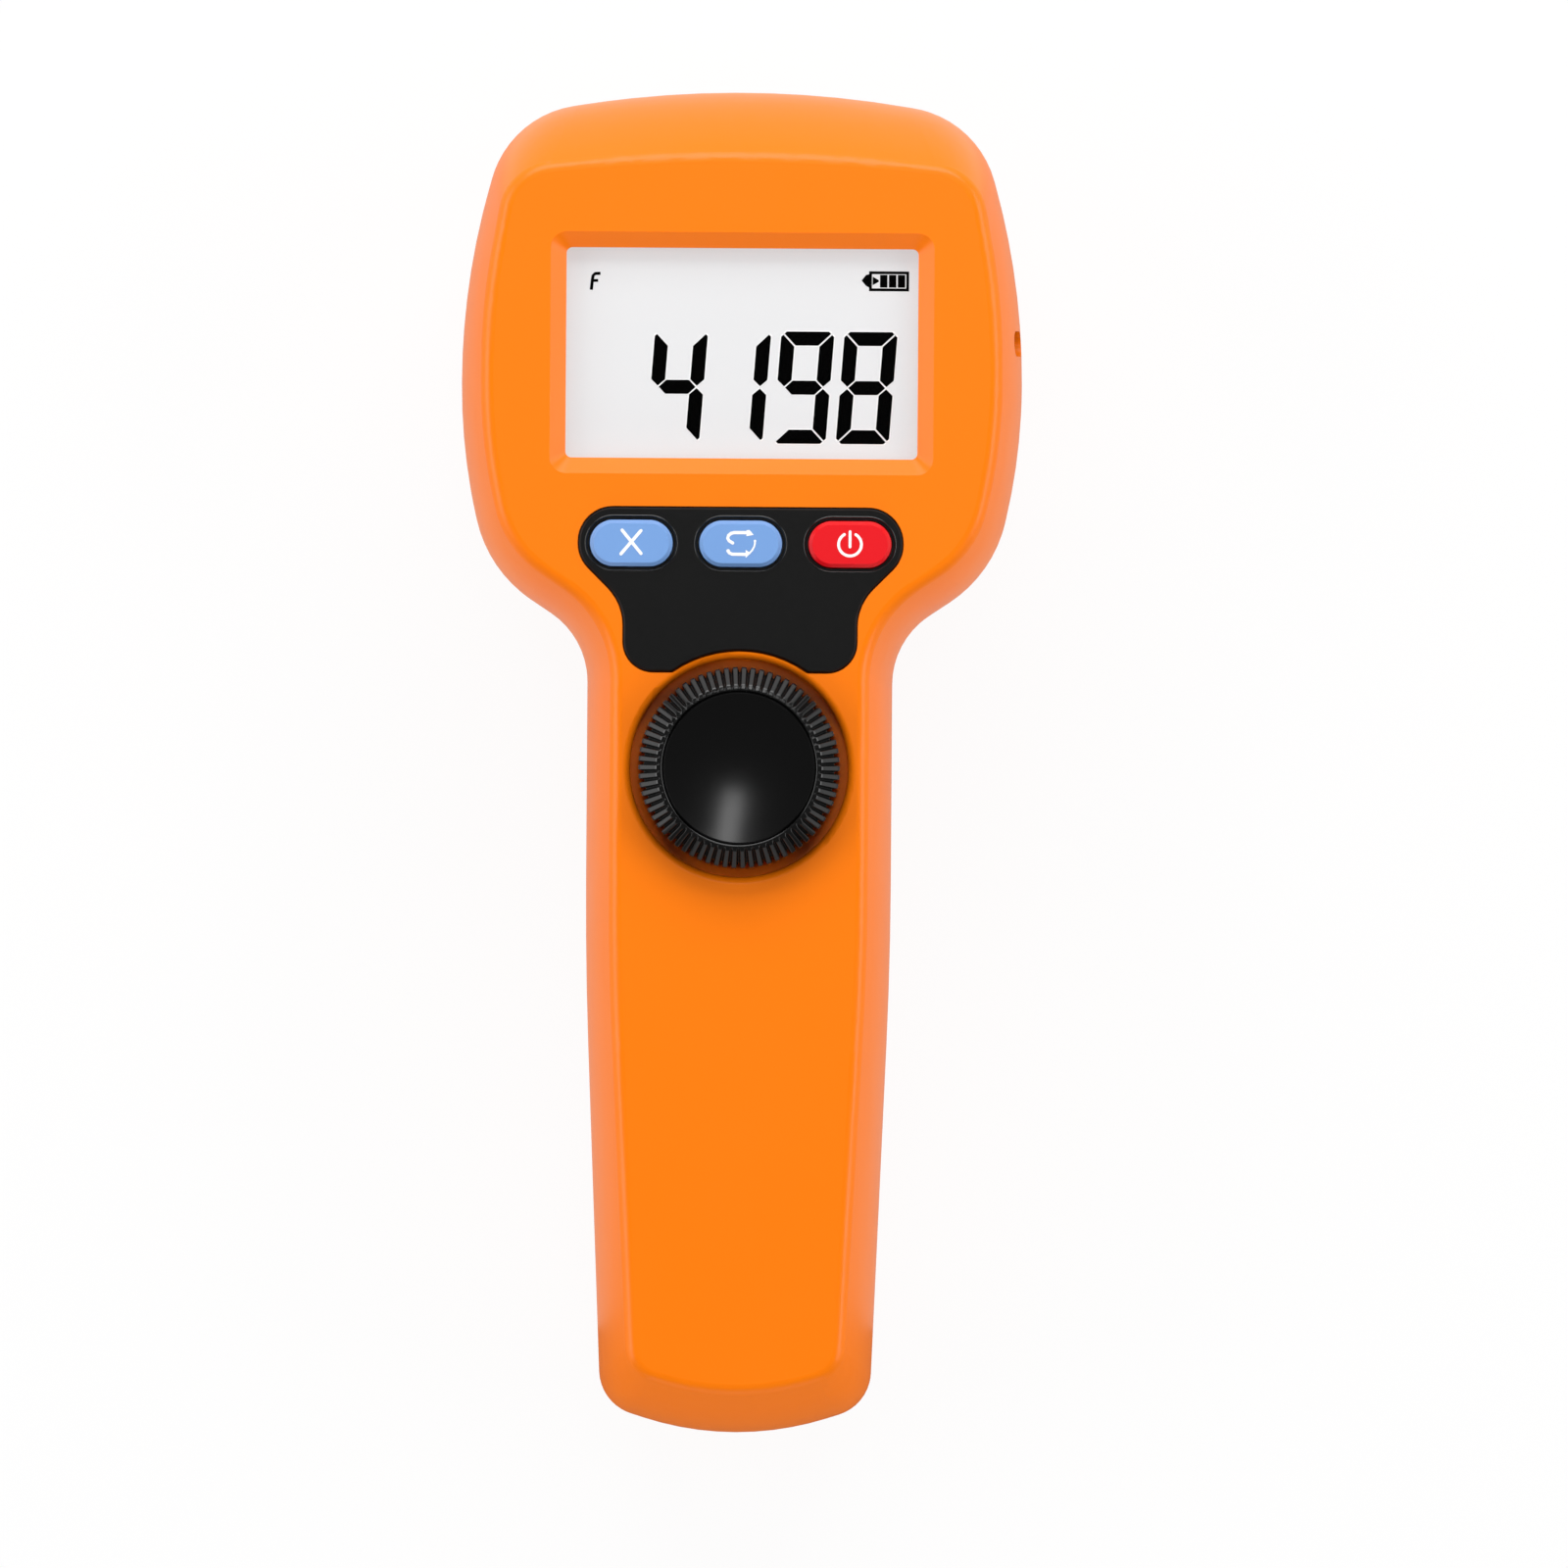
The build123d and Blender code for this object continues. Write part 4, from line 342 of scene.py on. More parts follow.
@dataclass(frozen=True)
class LightSource:
    """White ceramic packages in a grid, each with a round patch of yellow phosphor in the middle."""

    name: str
    ceramic: str
    phosphor: str
    centre: tuple[float, float]
    pitch: float = 12.4 * MM
    patch_radius: float = 1.2 * MM
    fade: float = 0.05

    def material(self) -> Material:
        """Builds the shader.

        Returns:
            The material; the place within the grid's cell is found by wrapping x and y at the pitch.
        """
        material, tree, place = new_material(self.name)
        half = self.pitch / 2
        shifted = add_node(
            tree, "Mapping", {"Vector": place, "Location": (-self.centre[0], -self.centre[1], 0.0)}
        )
        cell = add_node(
            tree,
            "VectorMath",
            {0: shifted.outputs["Vector"], 1: (half, half, half), 2: (-half, -half, -half)},
            operation="WRAP",
        )
        flat = add_node(tree, "VectorMath", {0: cell.outputs[0], 1: (1.0, 1.0, 0.0)}, operation="MULTIPLY")
        radius = add_node(tree, "VectorMath", {0: flat.outputs[0]}, operation="LENGTH")
        inner, outer = self.patch_radius * (1 - self.fade), self.patch_radius * (1 + self.fade)
        limits = {"Value": radius.outputs["Value"], "From Min": inner, "From Max": outer}
        outside = add_node(tree, "MapRange", limits)
        colour = add_node(
            tree,
            "Mix",
            {"Factor": outside.outputs["Result"], 6: linear(self.phosphor), 7: linear(self.ceramic)},
            data_type="RGBA",
        )
        inputs = {"Base Color": colour.outputs[2], "Roughness": 0.45, "IOR": 1.45}
        shader = add_node(tree, "BsdfPrincipled", inputs)
        add_node(tree, "OutputMaterial", {"Surface": shader.outputs["BSDF"]})
        return material


@dataclass(frozen=True)
class Ink:
    """A flat film of ink or of darkened liquid crystal, even from edge to edge."""

    name: str
    colour: str
    roughness: float = 0.6
    ior: float = 1.5

    def material(self) -> Material:
        """Builds the shader, one even colour.

        Returns:
            The material.
        """
        material, tree, _ = new_material(self.name)
        inputs = {"Base Color": linear(self.colour), "Roughness": self.roughness, "IOR": self.ior}
        shader = add_node(tree, "BsdfPrincipled", inputs)
        add_node(tree, "OutputMaterial", {"Surface": shader.outputs["BSDF"]})
        return material


# Satin moulded shell: a deep even orange with soft, wide highlights
ORANGE_ABS = MouldedPlastic("orange_satin_abs", "#FC7C03", Gloss.SATIN, ior=1.34)
# The same on the two shells, with the thin dark line where they meet
SHELL_ABS = MouldedPlastic("orange_shell_abs", "#FC7C03", Gloss.SATIN, ior=1.34, seam_height=PARTING_HEIGHT)
# Etched black: a flat dark field that hardly mirrors the lamps
BLACK_ABS = MouldedPlastic("black_etched_abs", "#040404", Gloss.ETCHED, ior=1.37)
# Polished black on fine ribs: a crisp streak of light along each rib
KNOB_ABS = MouldedPlastic("black_knob_abs", "#0A0A0A", Gloss.POLISHED, grain=0.3 * MM, depth=0.004 * MM)
# Polished black dish: a broad pale glow on near black
CAP_ABS = MouldedPlastic("black_polished_abs", "#080808", Gloss.POLISHED, depth=0.002 * MM, ior=1.45)
# Rounded edge worn smooth: a thin pale line round each key
EDGE_ABS = MouldedPlastic("black_worn_edge_abs", "#141414", Gloss.POLISHED, depth=0.002 * MM, ior=1.6)
# Satin keys, coloured right through: clear colour with a soft sheen
BLUE_KEY = MouldedPlastic("blue_key_plastic", "#76A0DA", Gloss.SATIN, depth=0.004 * MM, ior=1.43)
RED_KEY = MouldedPlastic("red_key_plastic", "#E40616", Gloss.SATIN, depth=0.004 * MM, ior=1.43)
# Milky plastic behind the display: plain white
WHITE_HOLDER = MouldedPlastic("white_polycarbonate", "#EDEDE8", Gloss.SATIN)
# Filled epoxy: dull and near black
CHIP_EPOXY = MouldedPlastic("chip_epoxy", "#18181A", Gloss.ETCHED)
# Moulded rubbers: matt, with hardly a highlight
SILICONE = MouldedPlastic("silicone_rubber", "#202020", Gloss.MATT)
STRIP_RUBBER = MouldedPlastic("pink_silicone_rubber", "#C98A88", Gloss.MATT)
# Shrunk and drawn sleeves: a glossy film on the cell, a softer sheen on the wires
CELL_SLEEVE = MouldedPlastic("blue_shrink_sleeve", "#1F58A8", Gloss.POLISHED)
RED_SLEEVE = MouldedPlastic("red_wire_sleeve", "#B01414", Gloss.SATIN)
BLACK_SLEEVE = MouldedPlastic("black_wire_sleeve", "#161616", Gloss.SATIN)
# Plated and tooled metals: coloured mirrors, blurred by plating grain or by tool marks
ZINC_STEEL = Metal("zinc_plated_steel", "#B9BABD", 0.32)
NICKEL = Metal("nickel_plate", "#C9C6BE", 0.22)
BRASS = Metal("turned_brass", "#D9AE5A", 0.28, fineness=(1.0, 6.0, 1.0))
ALUMINIUM = Metal("extruded_aluminium", "#C4C6C9", 0.35, fineness=(4.0, 0.3, 1.0))
# Plastic metallised in a vacuum: a sharp mirror
MIRROR = Metal("vacuum_metallised_plastic", "#E6E7E8", 0.06, depth=0.002 * MM)
# Polished sheet: clear, with a mirror image that grows at flat views
ACRYLIC = ClearAcrylic("clear_acrylic")
# Solder mask over copper: a satin lacquer with paler tracks
GREEN_BOARD = CircuitBoard("green_solder_mask", "#14602F", "#2A8048")
WHITE_BOARD = CircuitBoard("white_solder_mask", "#E4E4E0", "#D2D2CE")
# Rear reflector of the display: an even pale grey, with a weak glow that is painted light, so that its edges
# stay as pale as its middle
CELL_FIELD_PAINTED_GLOW = LiquidCrystal("liquid_crystal_painted_glow", "#989898", "#F2F2F4", 0.56)
# The crystal lies between glass plates and has no shiny surface of its own
SEGMENT_INK = Ink("dark_liquid_crystal", "#020202", 0.9, 1.02)
HALO_INK = Ink("clear_liquid_crystal", "#F8F8F8", 0.9, 1.02)
# Printed ink: a flat white
WHITE_INK = Ink("white_key_ink", "#FBFBFB")


def dress(finish, *nodes: str) -> Material:
    """Gives CAD nodes one finish.

    Args:
        finish: any of the finish classes.
        nodes: names of CAD nodes.

    Returns:
        The material that they share.
    """
    material = finish.material()
    for node in nodes:
        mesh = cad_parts[node].data
        mesh.materials.clear()
        mesh.materials.append(material)
    return material


def add_piece(
    name: str,
    points: np.ndarray,
    faces: list,
    material: Material,
    body: str,
    smooth: bool = False,
) -> Object:
    """Makes a mesh of points and faces that rides on a body.

    Args:
        name: the piece's name.
        points: n by 3 array of places in metres.
        faces: rows of point numbers, anticlockwise seen from outside.
        material: its material.
        body: the CAD body that it moves with.
        smooth: whether its faces shade as one curved surface.

    Returns:
        The new object.
    """
    mesh = bpy.data.meshes.new(name)
    mesh.from_pydata(points.tolist(), [], faces)
    mesh.polygons.foreach_set("use_smooth", [smooth] * len(mesh.polygons))
    mesh.materials.append(material)
    mesh.update()
    piece = bpy.data.objects.new(name, mesh)
    bpy.context.scene.collection.objects.link(piece)
    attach(piece, body)
    return piece


def prisms(outlines: np.ndarray, low: float, high: float) -> tuple[np.ndarray, list]:
    """Raises flat outlines into prisms: each outline once at the low height and once at the high.

    Args:
        outlines: count by corners by 2 array, each outline convex and anticlockwise.
        low: height of the undersides.
        high: height of the tops.

    Returns:
        Points and faces of all the prisms together.
    """
    count, corners, _ = outlines.shape
    floor = np.dstack([outlines, np.full((count, corners), low)])
    roof = np.dstack([outlines, np.full((count, corners), high)])
    points = np.concatenate([floor, roof], axis=1).reshape(-1, 3)
    base = np.arange(count)[:, None] * 2 * corners
    ring = np.arange(corners)
    tops = base + corners + ring
    bottoms = base + ring[::-1]
    following = (ring + 1) % corners
    sides = np.stack(
        [base + ring, base + following, base + corners + following, base + corners + ring], axis=-1
    ).reshape(-1, 4)
    return points, [*tops.tolist(), *bottoms.tolist(), *sides.tolist()]


def rounded_rectangle(centre: tuple[float, float], size: tuple[float, float], radius: float) -> np.ndarray:
    """Corner arcs round the four centres that lie one radius inside the corners.

    Args:
        centre: its middle.
        size: its width and height.
        radius: the radius of its corners.

    Returns:
        Rows of x and y, anticlockwise, CORNER_POINTS of them for each corner.
    """
    quarter = np.linspace(0, pi / 2, CORNER_POINTS)
    turn = np.repeat(np.arange(4) * pi / 2, CORNER_POINTS) + np.tile(quarter, 4)
    reach = np.array(size) / 2 - radius
    signs = np.repeat(np.array([[1, 1], [-1, 1], [-1, -1], [1, -1]]), CORNER_POINTS, axis=0)
    return np.array(centre) + signs * reach + radius * np.column_stack([np.cos(turn), np.sin(turn)])


def ribbon(path: np.ndarray, width: float) -> np.ndarray:
    """Splits a stroke into quads: each point of the path is moved half the width to both sides.

    Args:
        path: n by 2 array of points along the stroke's middle.
        width: the stroke's width.

    Returns:
        An array of n - 1 by 4 by 2 corners, anticlockwise.
    """
    along = np.gradient(path, axis=0)
    along /= np.linalg.norm(along, axis=1, keepdims=True)
    side = np.column_stack([-along[:, 1], along[:, 0]]) * width / 2
    left, right = path + side, path - side
    return np.stack([right[:-1], right[1:], left[1:], left[:-1]], axis=1)


def arc(centre: tuple[float, float], radius: float, start: float, end: float, steps: int = 24) -> np.ndarray:
    """Points of a circular arc between two angles in degrees.

    Args:
        centre: the arc's centre.
        radius: its radius.
        start: the angle of its first point.
        end: the angle of its last point.
        steps: how many points it gets.

    Returns:
        An array of steps by 2 points.
    """
    turn = np.radians(np.linspace(start, end, steps))
    return np.array(centre) + radius * np.column_stack([np.cos(turn), np.sin(turn)])


def dot(centre: tuple[float, float], width: float) -> np.ndarray:
    """The round end of a stroke: a regular polygon."""
    return arc(centre, width / 2, 0, 360 - 360 / DOT_CORNERS, DOT_CORNERS)[None]


def stacked(strokes: list[np.ndarray], low: float, high: float) -> tuple[np.ndarray, list]:
    """Prisms for strokes that may cross: each stroke's top lies a micron above the one before.

    Args:
        strokes: arrays of outlines as prisms takes them.
        low: height of the undersides.
        high: height of the first stroke's top.

    Returns:
        Points and faces of all the strokes together.
    """
    points, faces, start = [], [], 0
    for level, outlines in enumerate(strokes):
        corners, polygons = prisms(outlines, low, high + level * MICRON)
        points.append(corners)
        faces += [[start + number for number in polygon] for polygon in polygons]
        start += len(corners)
    return np.concatenate(points), faces


@dataclass
class Case:
    """The two orange shells, the door in the grip and what is set into them."""

    def build(self) -> None:
        """Gives the shells and their fittings their finishes."""
        dress(SHELL_ABS, "display_cover", "lamp_cover")
        dress(ORANGE_ABS, "battery_door")
        dress(BLACK_ABS, "key_panel", "lamp_bezel")
        dress(ZINC_STEEL, "case_screws", "door_screw", "board_screws", "lamp_screws")
        dress(BRASS, "tripod_bush")
        dress(NICKEL, "charge_socket")
        LOG.info("Case: shells, door, panel, bezel, bush, socket and screws dressed")


@dataclass
class Display:
    """The liquid crystal display: its window, its field and the marks that it shows.

    The battery's and the letter's sizes are in millimetres about the window's middle, the rest in metres.
    """

    window_gap: float = 0.15 * MM
    window_corner: float = 0.9 * MM
    mark_rise: float = 0.05 * MM
    halo_rise: float = 0.03 * MM
    digit_height: float = 16.7 * MM
    digit_width: float = 7.9 * MM
    bar: float = 2.08 * MM
    gap: float = 0.17 * MM
    corner: float = 0.32 * MM
    halo: float = 0.16 * MM
    slant: float = radians(4.3)
    digit_pitch: float = 9.41 * MM
    last_digit: tuple[float, float] = (18.6 * MM, -5.02 * MM)
    battery: tuple[float, float, float, float] = (18.85, 24.8, 9.42, 12.38)
    battery_line: float = 0.42
    charge_bars: tuple[float, float, float] = (20.48, 21.8, 23.12)
    charge_bar_width: float = 1.1
    charge_bar_insets: tuple[float, float] = (0.55, 0.53)
    letter_lines: tuple[float, float] = (0.46, 0.42)
    reading: str = "4198"
    lit: dict[str, str] = field(
        default_factory=lambda: {"4": "bcfg", "1": "bc", "9": "abcdfg", "8": "abcdefg"}
    )

    def __post_init__(self) -> None:
        """Reads the places that the CAD nodes give."""
        low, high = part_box("lcd_window")
        self.centre = np.array([(low.x + high.x) / 2, (low.y + high.y) / 2])
        self.low, self.high = low, high

    def window(self) -> Object:
        """Clear window: the node's own slab, lifted a little off the cell, so that they share no face.

        Returns:
            The piece that stands for the node.
        """
        size = (self.high.x - self.low.x, self.high.y - self.low.y)
        outline = rounded_rectangle(tuple(self.centre), size, self.window_corner)[None]
        points, faces = prisms(outline, self.low.z + self.window_gap, self.high.z)
        piece = add_piece("clear_window", points, faces, ACRYLIC.material(), "case")
        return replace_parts(piece, "lcd_window")

    def segment(self, name: str, grow: float) -> np.ndarray:
        """One bar of a digit that stands upright, as a polygon of six corners.

        Args:
            name: its letter, a to g from the top round to the middle.
            grow: how far every edge moves outwards.

        Returns:
            A 6 by 2 array about the digit's middle.
        """
        right, top = self.digit_width / 2, self.digit_height / 2
        left = -right
        bar, gap, corner = self.bar + grow, self.gap - grow, self.corner
        across = np.array(
            [
                (left + corner + gap, top - corner + grow),
                (left + bar + gap, top - bar),
                (right - bar - gap, top - bar),
                (right - corner - gap, top - corner + grow),
                (right - 2 * corner - gap, top + grow),
                (left + 2 * corner + gap, top + grow),
            ]
        )
        middle = bar / 2
        side = np.array(
            [
                (right - bar, top - bar - gap),
                (right - bar, middle + gap / 2),
                (right - middle, gap),
                (right + grow, middle + gap / 2),
                (right + grow, top - 2 * corner - gap),
                (right - corner + grow, top - corner - gap),
            ]
        )
        centre_bar = np.array(
            [
                (left + middle + gap, 0),
                (left + bar + gap, -middle),
                (right - bar - gap, -middle),
                (right - middle - gap, 0),
                (right - bar - gap, middle),
                (left + bar + gap, middle),
            ]
        )
        upside_down, mirrored = np.array([1, -1]), np.array([-1, 1])
        return {
            "a": across,
            "b": side,
            "c": (side * upside_down)[::-1],
            "d": (across * upside_down)[::-1],
            "e": side * -1,
            "f": (side * mirrored)[::-1],
            "g": centre_bar,
        }[name]

    def digits(self, grow: float) -> np.ndarray:
        """All lit bars of the reading, leaning to the right: x grows with height above the digit's middle.

        Args:
            grow: how far every edge moves outwards.

        Returns:
            An array of bars by 6 by 2 points.
        """
        lean = np.array([[1, 0], [tan(self.slant), 1]])
        count = len(self.reading)
        shapes = []
        for i, digit in enumerate(self.reading):
            middle = np.array(self.last_digit) - np.array([(count - 1 - i) * self.digit_pitch, 0])
            bars = np.stack([self.segment(name, grow) for name in self.lit[digit]])
            shapes.append(self.centre + middle + bars @ lean)
        return np.concatenate(shapes)

    def battery_mark(self) -> np.ndarray:
        """A battery with three bars: four thin sides, the bars, a nub and a small arrow.

        Returns:
            An array of shapes by 4 by 2 points.
        """
        left, right, low, high = self.battery
        line = self.battery_line
        below, above = self.charge_bar_insets
        boxes = [
            (left, right, high - line, high),
            (left, right, low, low + line),
            (left, left + line, low, high),
            (right - line, right, low, high),
            *((x, x + self.charge_bar_width, low + below, high - above) for x in self.charge_bars),
        ]
        shapes = [[(a, c), (b, c), (b, d), (a, d)] for a, b, c, d in boxes]
        nub = [(left - 1.12, 11.0), (left - 0.45, 10.2), (left + 0.05, 9.95), (left + 0.05, 11.0)]
        nub_top = [(left - 1.12, 11.0), (left + 0.05, 11.0), (left + 0.05, 11.95), (left - 0.45, 11.83)]
        arrow = [(19.38, 10.3), (20.3, 10.84), (20.3, 11.06), (19.38, 11.58)]
        return self.centre + np.array([*shapes, nub, nub_top, arrow]) * MM

    def hertz_mark(self) -> np.ndarray:
        """A small leaning f: a stem with a hooked top, and its bar.

        Returns:
            An array of shapes by 4 by 2 points.
        """
        stem = np.array([(-22.5, 9.35), (-22.35, 10.9), (-22.25, 11.45), (-21.95, 11.76), (-21.15, 11.8)])
        bar = np.array([(-22.45, 10.72), (-21.5, 10.74)])
        stem_line, bar_line = self.letter_lines
        strokes = np.concatenate([ribbon(stem, stem_line), ribbon(bar, bar_line)])
        return self.centre + strokes * MM

    def build(self) -> None:
        """Places the window, dresses the cell and lays the marks on it."""
        dress(CELL_FIELD_PAINTED_GLOW, "lcd_glass")
        dress(WHITE_HOLDER, "lcd_holder")
        dress(STRIP_RUBBER, "contact_strips")
        self.window()
        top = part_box("lcd_glass")[1].z
        ink, halo = SEGMENT_INK.material(), HALO_INK.material()
        layers = (
            ("digit_halo", self.digits(self.halo), halo, self.halo_rise),
            ("digit_bars", self.digits(0.0), ink, self.mark_rise),
            ("battery_mark", self.battery_mark(), ink, self.mark_rise),
            ("hertz_mark", self.hertz_mark(), ink, self.mark_rise),
        )
        for name, outlines, material, rise in layers:
            points, faces = prisms(outlines, top, top + rise)
            add_piece(name, points, faces, material, "case")
            LOG.info("Display: %s with %d shapes", name, len(outlines))


@dataclass
class Keys:
    """The three keys, the white mark on each and the rounded edge of the panel's step round them.

    The marks' lines and ring are in millimetres, the ring's span in degrees. The last three are shares of
    the line.
    """

    size: tuple[float, float] = (12.3 * MM, 6.9 * MM)
    edge_away: float = 0.65 * MM
    edge_radius: float = 0.16 * MM
    edge_rise: float = 0.05 * MM
    edge_steps: int = 12
    rise: float = 0.03 * MM
    line: float = 0.48
    ring_radius: float = 1.7
    ring_span: tuple[float, float] = (120, 420)
    ring_line: float = 0.42
    tail: float = 1.15
    thin: float = 0.55
    thin_end: float = 0.8

    def cross(self) -> list[np.ndarray]:
        """Two crossing strokes with round ends.

        Returns:
            Strokes in millimetres about the key's middle.
        """
        falling = np.array([(-1.38, 1.9), (1.46, -1.55)])
        rising = np.array([(-1.52, -1.62), (1.42, 1.84)])
        ends = [dot(tuple(end), self.line) for end in (*falling, *rising)]
        return [ribbon(falling, self.line), ribbon(rising, self.line), *ends]

    def cycle(self) -> list[np.ndarray]:
        """Two arrows that chase each other round a flat loop.

        Returns:
            Strokes in millimetres about the key's middle.
        """
        upper = np.array(
            [(-1.19, 0.1), (-1.7, 0.4), (-1.93, 0.8), (-1.8, 1.23), (-1.42, 1.54), (-0.95, 1.65), (0.9, 1.65)]
        )
        lower = np.array([(-1.9, -1.04), (-1.7, -1.36), (-1.27, -1.56), (0.83, -1.58)])
        right = np.array([(2.13, 0.42), (2.12, 0.0), (2.0, -0.45), (1.72, -0.95), (1.29, -1.45)])
        return [
            ribbon(upper, self.line),
            dot((-1.19, 0.1), self.line),
            np.array([[(0.85, 1.12), (1.93, 1.33), (1.29, 2.06), (0.85, 2.0)]]),
            ribbon(lower, self.line),
            dot((-1.85, -1.08), self.line * self.tail),
            np.array([[(0.75, -2.1), (1.5, -1.4), (0.75, -0.9)]]),
            ribbon(right, self.line * self.thin),
            dot((2.13, 0.42), self.line * self.thin_end),
        ]

    def power(self) -> list[np.ndarray]:
        """A ring that is open at the top, with a stroke in the opening.

        Returns:
            Strokes in millimetres about the key's middle.
        """
        ring = arc((0, 0), self.ring_radius, *self.ring_span, steps=48)
        stroke = np.array([(0, 1.9), (0, -0.36)])
        ends = [dot(tuple(end), self.ring_line) for end in (ring[0], ring[-1], stroke[0], stroke[1])]
        return [ribbon(ring, self.ring_line), ribbon(stroke, self.ring_line), *ends]

    def step_edge(self, middle: np.ndarray, top: float) -> tuple[np.ndarray, list]:
        """A thin tube round a key, let into the panel so that the edge of its step is rounded.

        The section is a circle of a few points. The cosine of a point's angle says how far outside the key's
        outline it runs, the sine how high, and each point draws an outline with two straight sides.

        Args:
            middle: the key's middle.
            top: height of the panel's top.

        Returns:
            Points and faces of the closed tube.
        """
        turns = np.arange(self.edge_steps) * 2 * pi / self.edge_steps
        radii = self.size[1] / 2 + self.edge_away + self.edge_radius * np.cos(turns)
        heights = top + self.edge_rise + self.edge_radius * (np.sin(turns) - 1)
        around = np.concatenate([arc((0, 0), 1.0, -90, 90), arc((0, 0), 1.0, 90, 270)])
        reach = np.repeat([1.0, -1.0], len(around) // 2) * (self.size[0] - self.size[1]) / 2
        outlines = middle + around * radii[:, None, None] + np.column_stack([reach, 0 * reach])
        heights = np.broadcast_to(heights[:, None, None], (*outlines.shape[:2], 1))
        points = np.concatenate([outlines, heights], axis=2)
        number = np.arange(points.shape[0] * points.shape[1]).reshape(points.shape[:2])
        beside, above = np.roll(number, -1, axis=1), np.roll(number, -1, axis=0)
        faces = np.stack([number, beside, np.roll(beside, -1, axis=0), above], axis=-1).reshape(-1, 4)
        return points.reshape(-1, 3), faces.tolist()

    def build(self) -> None:
        """Dresses the keys, lays each mark on its key's top and rounds the step round each key."""
        dress(BLUE_KEY, "mode_button", "swap_button")
        dress(RED_KEY, "power_button")
        dress(BLACK_ABS, "mode_plunger", "swap_plunger", "power_plunger", "tact_switches")
        edge_finish = EDGE_ABS.material()
        panel_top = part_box("key_panel")[1].z
        ink = WHITE_INK.material()
        marks = {"mode": self.cross(), "swap": self.cycle(), "power": self.power()}
        for key, strokes in marks.items():
            low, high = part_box(f"{key}_button")
            middle = np.array([(low.x + high.x) / 2, (low.y + high.y) / 2])
            placed = [middle + stroke * MM for stroke in strokes]
            points, faces = stacked(placed, high.z - self.rise, high.z + self.rise)
            add_piece(f"{key}_mark", points, faces, ink, f"{key}_key")
            points, faces = self.step_edge(middle, panel_top)
            add_piece(f"{key}_step_edge", points, faces, edge_finish, "case", smooth=True)
            LOG.info("Keys: %s mark with %d strokes", key, len(strokes))


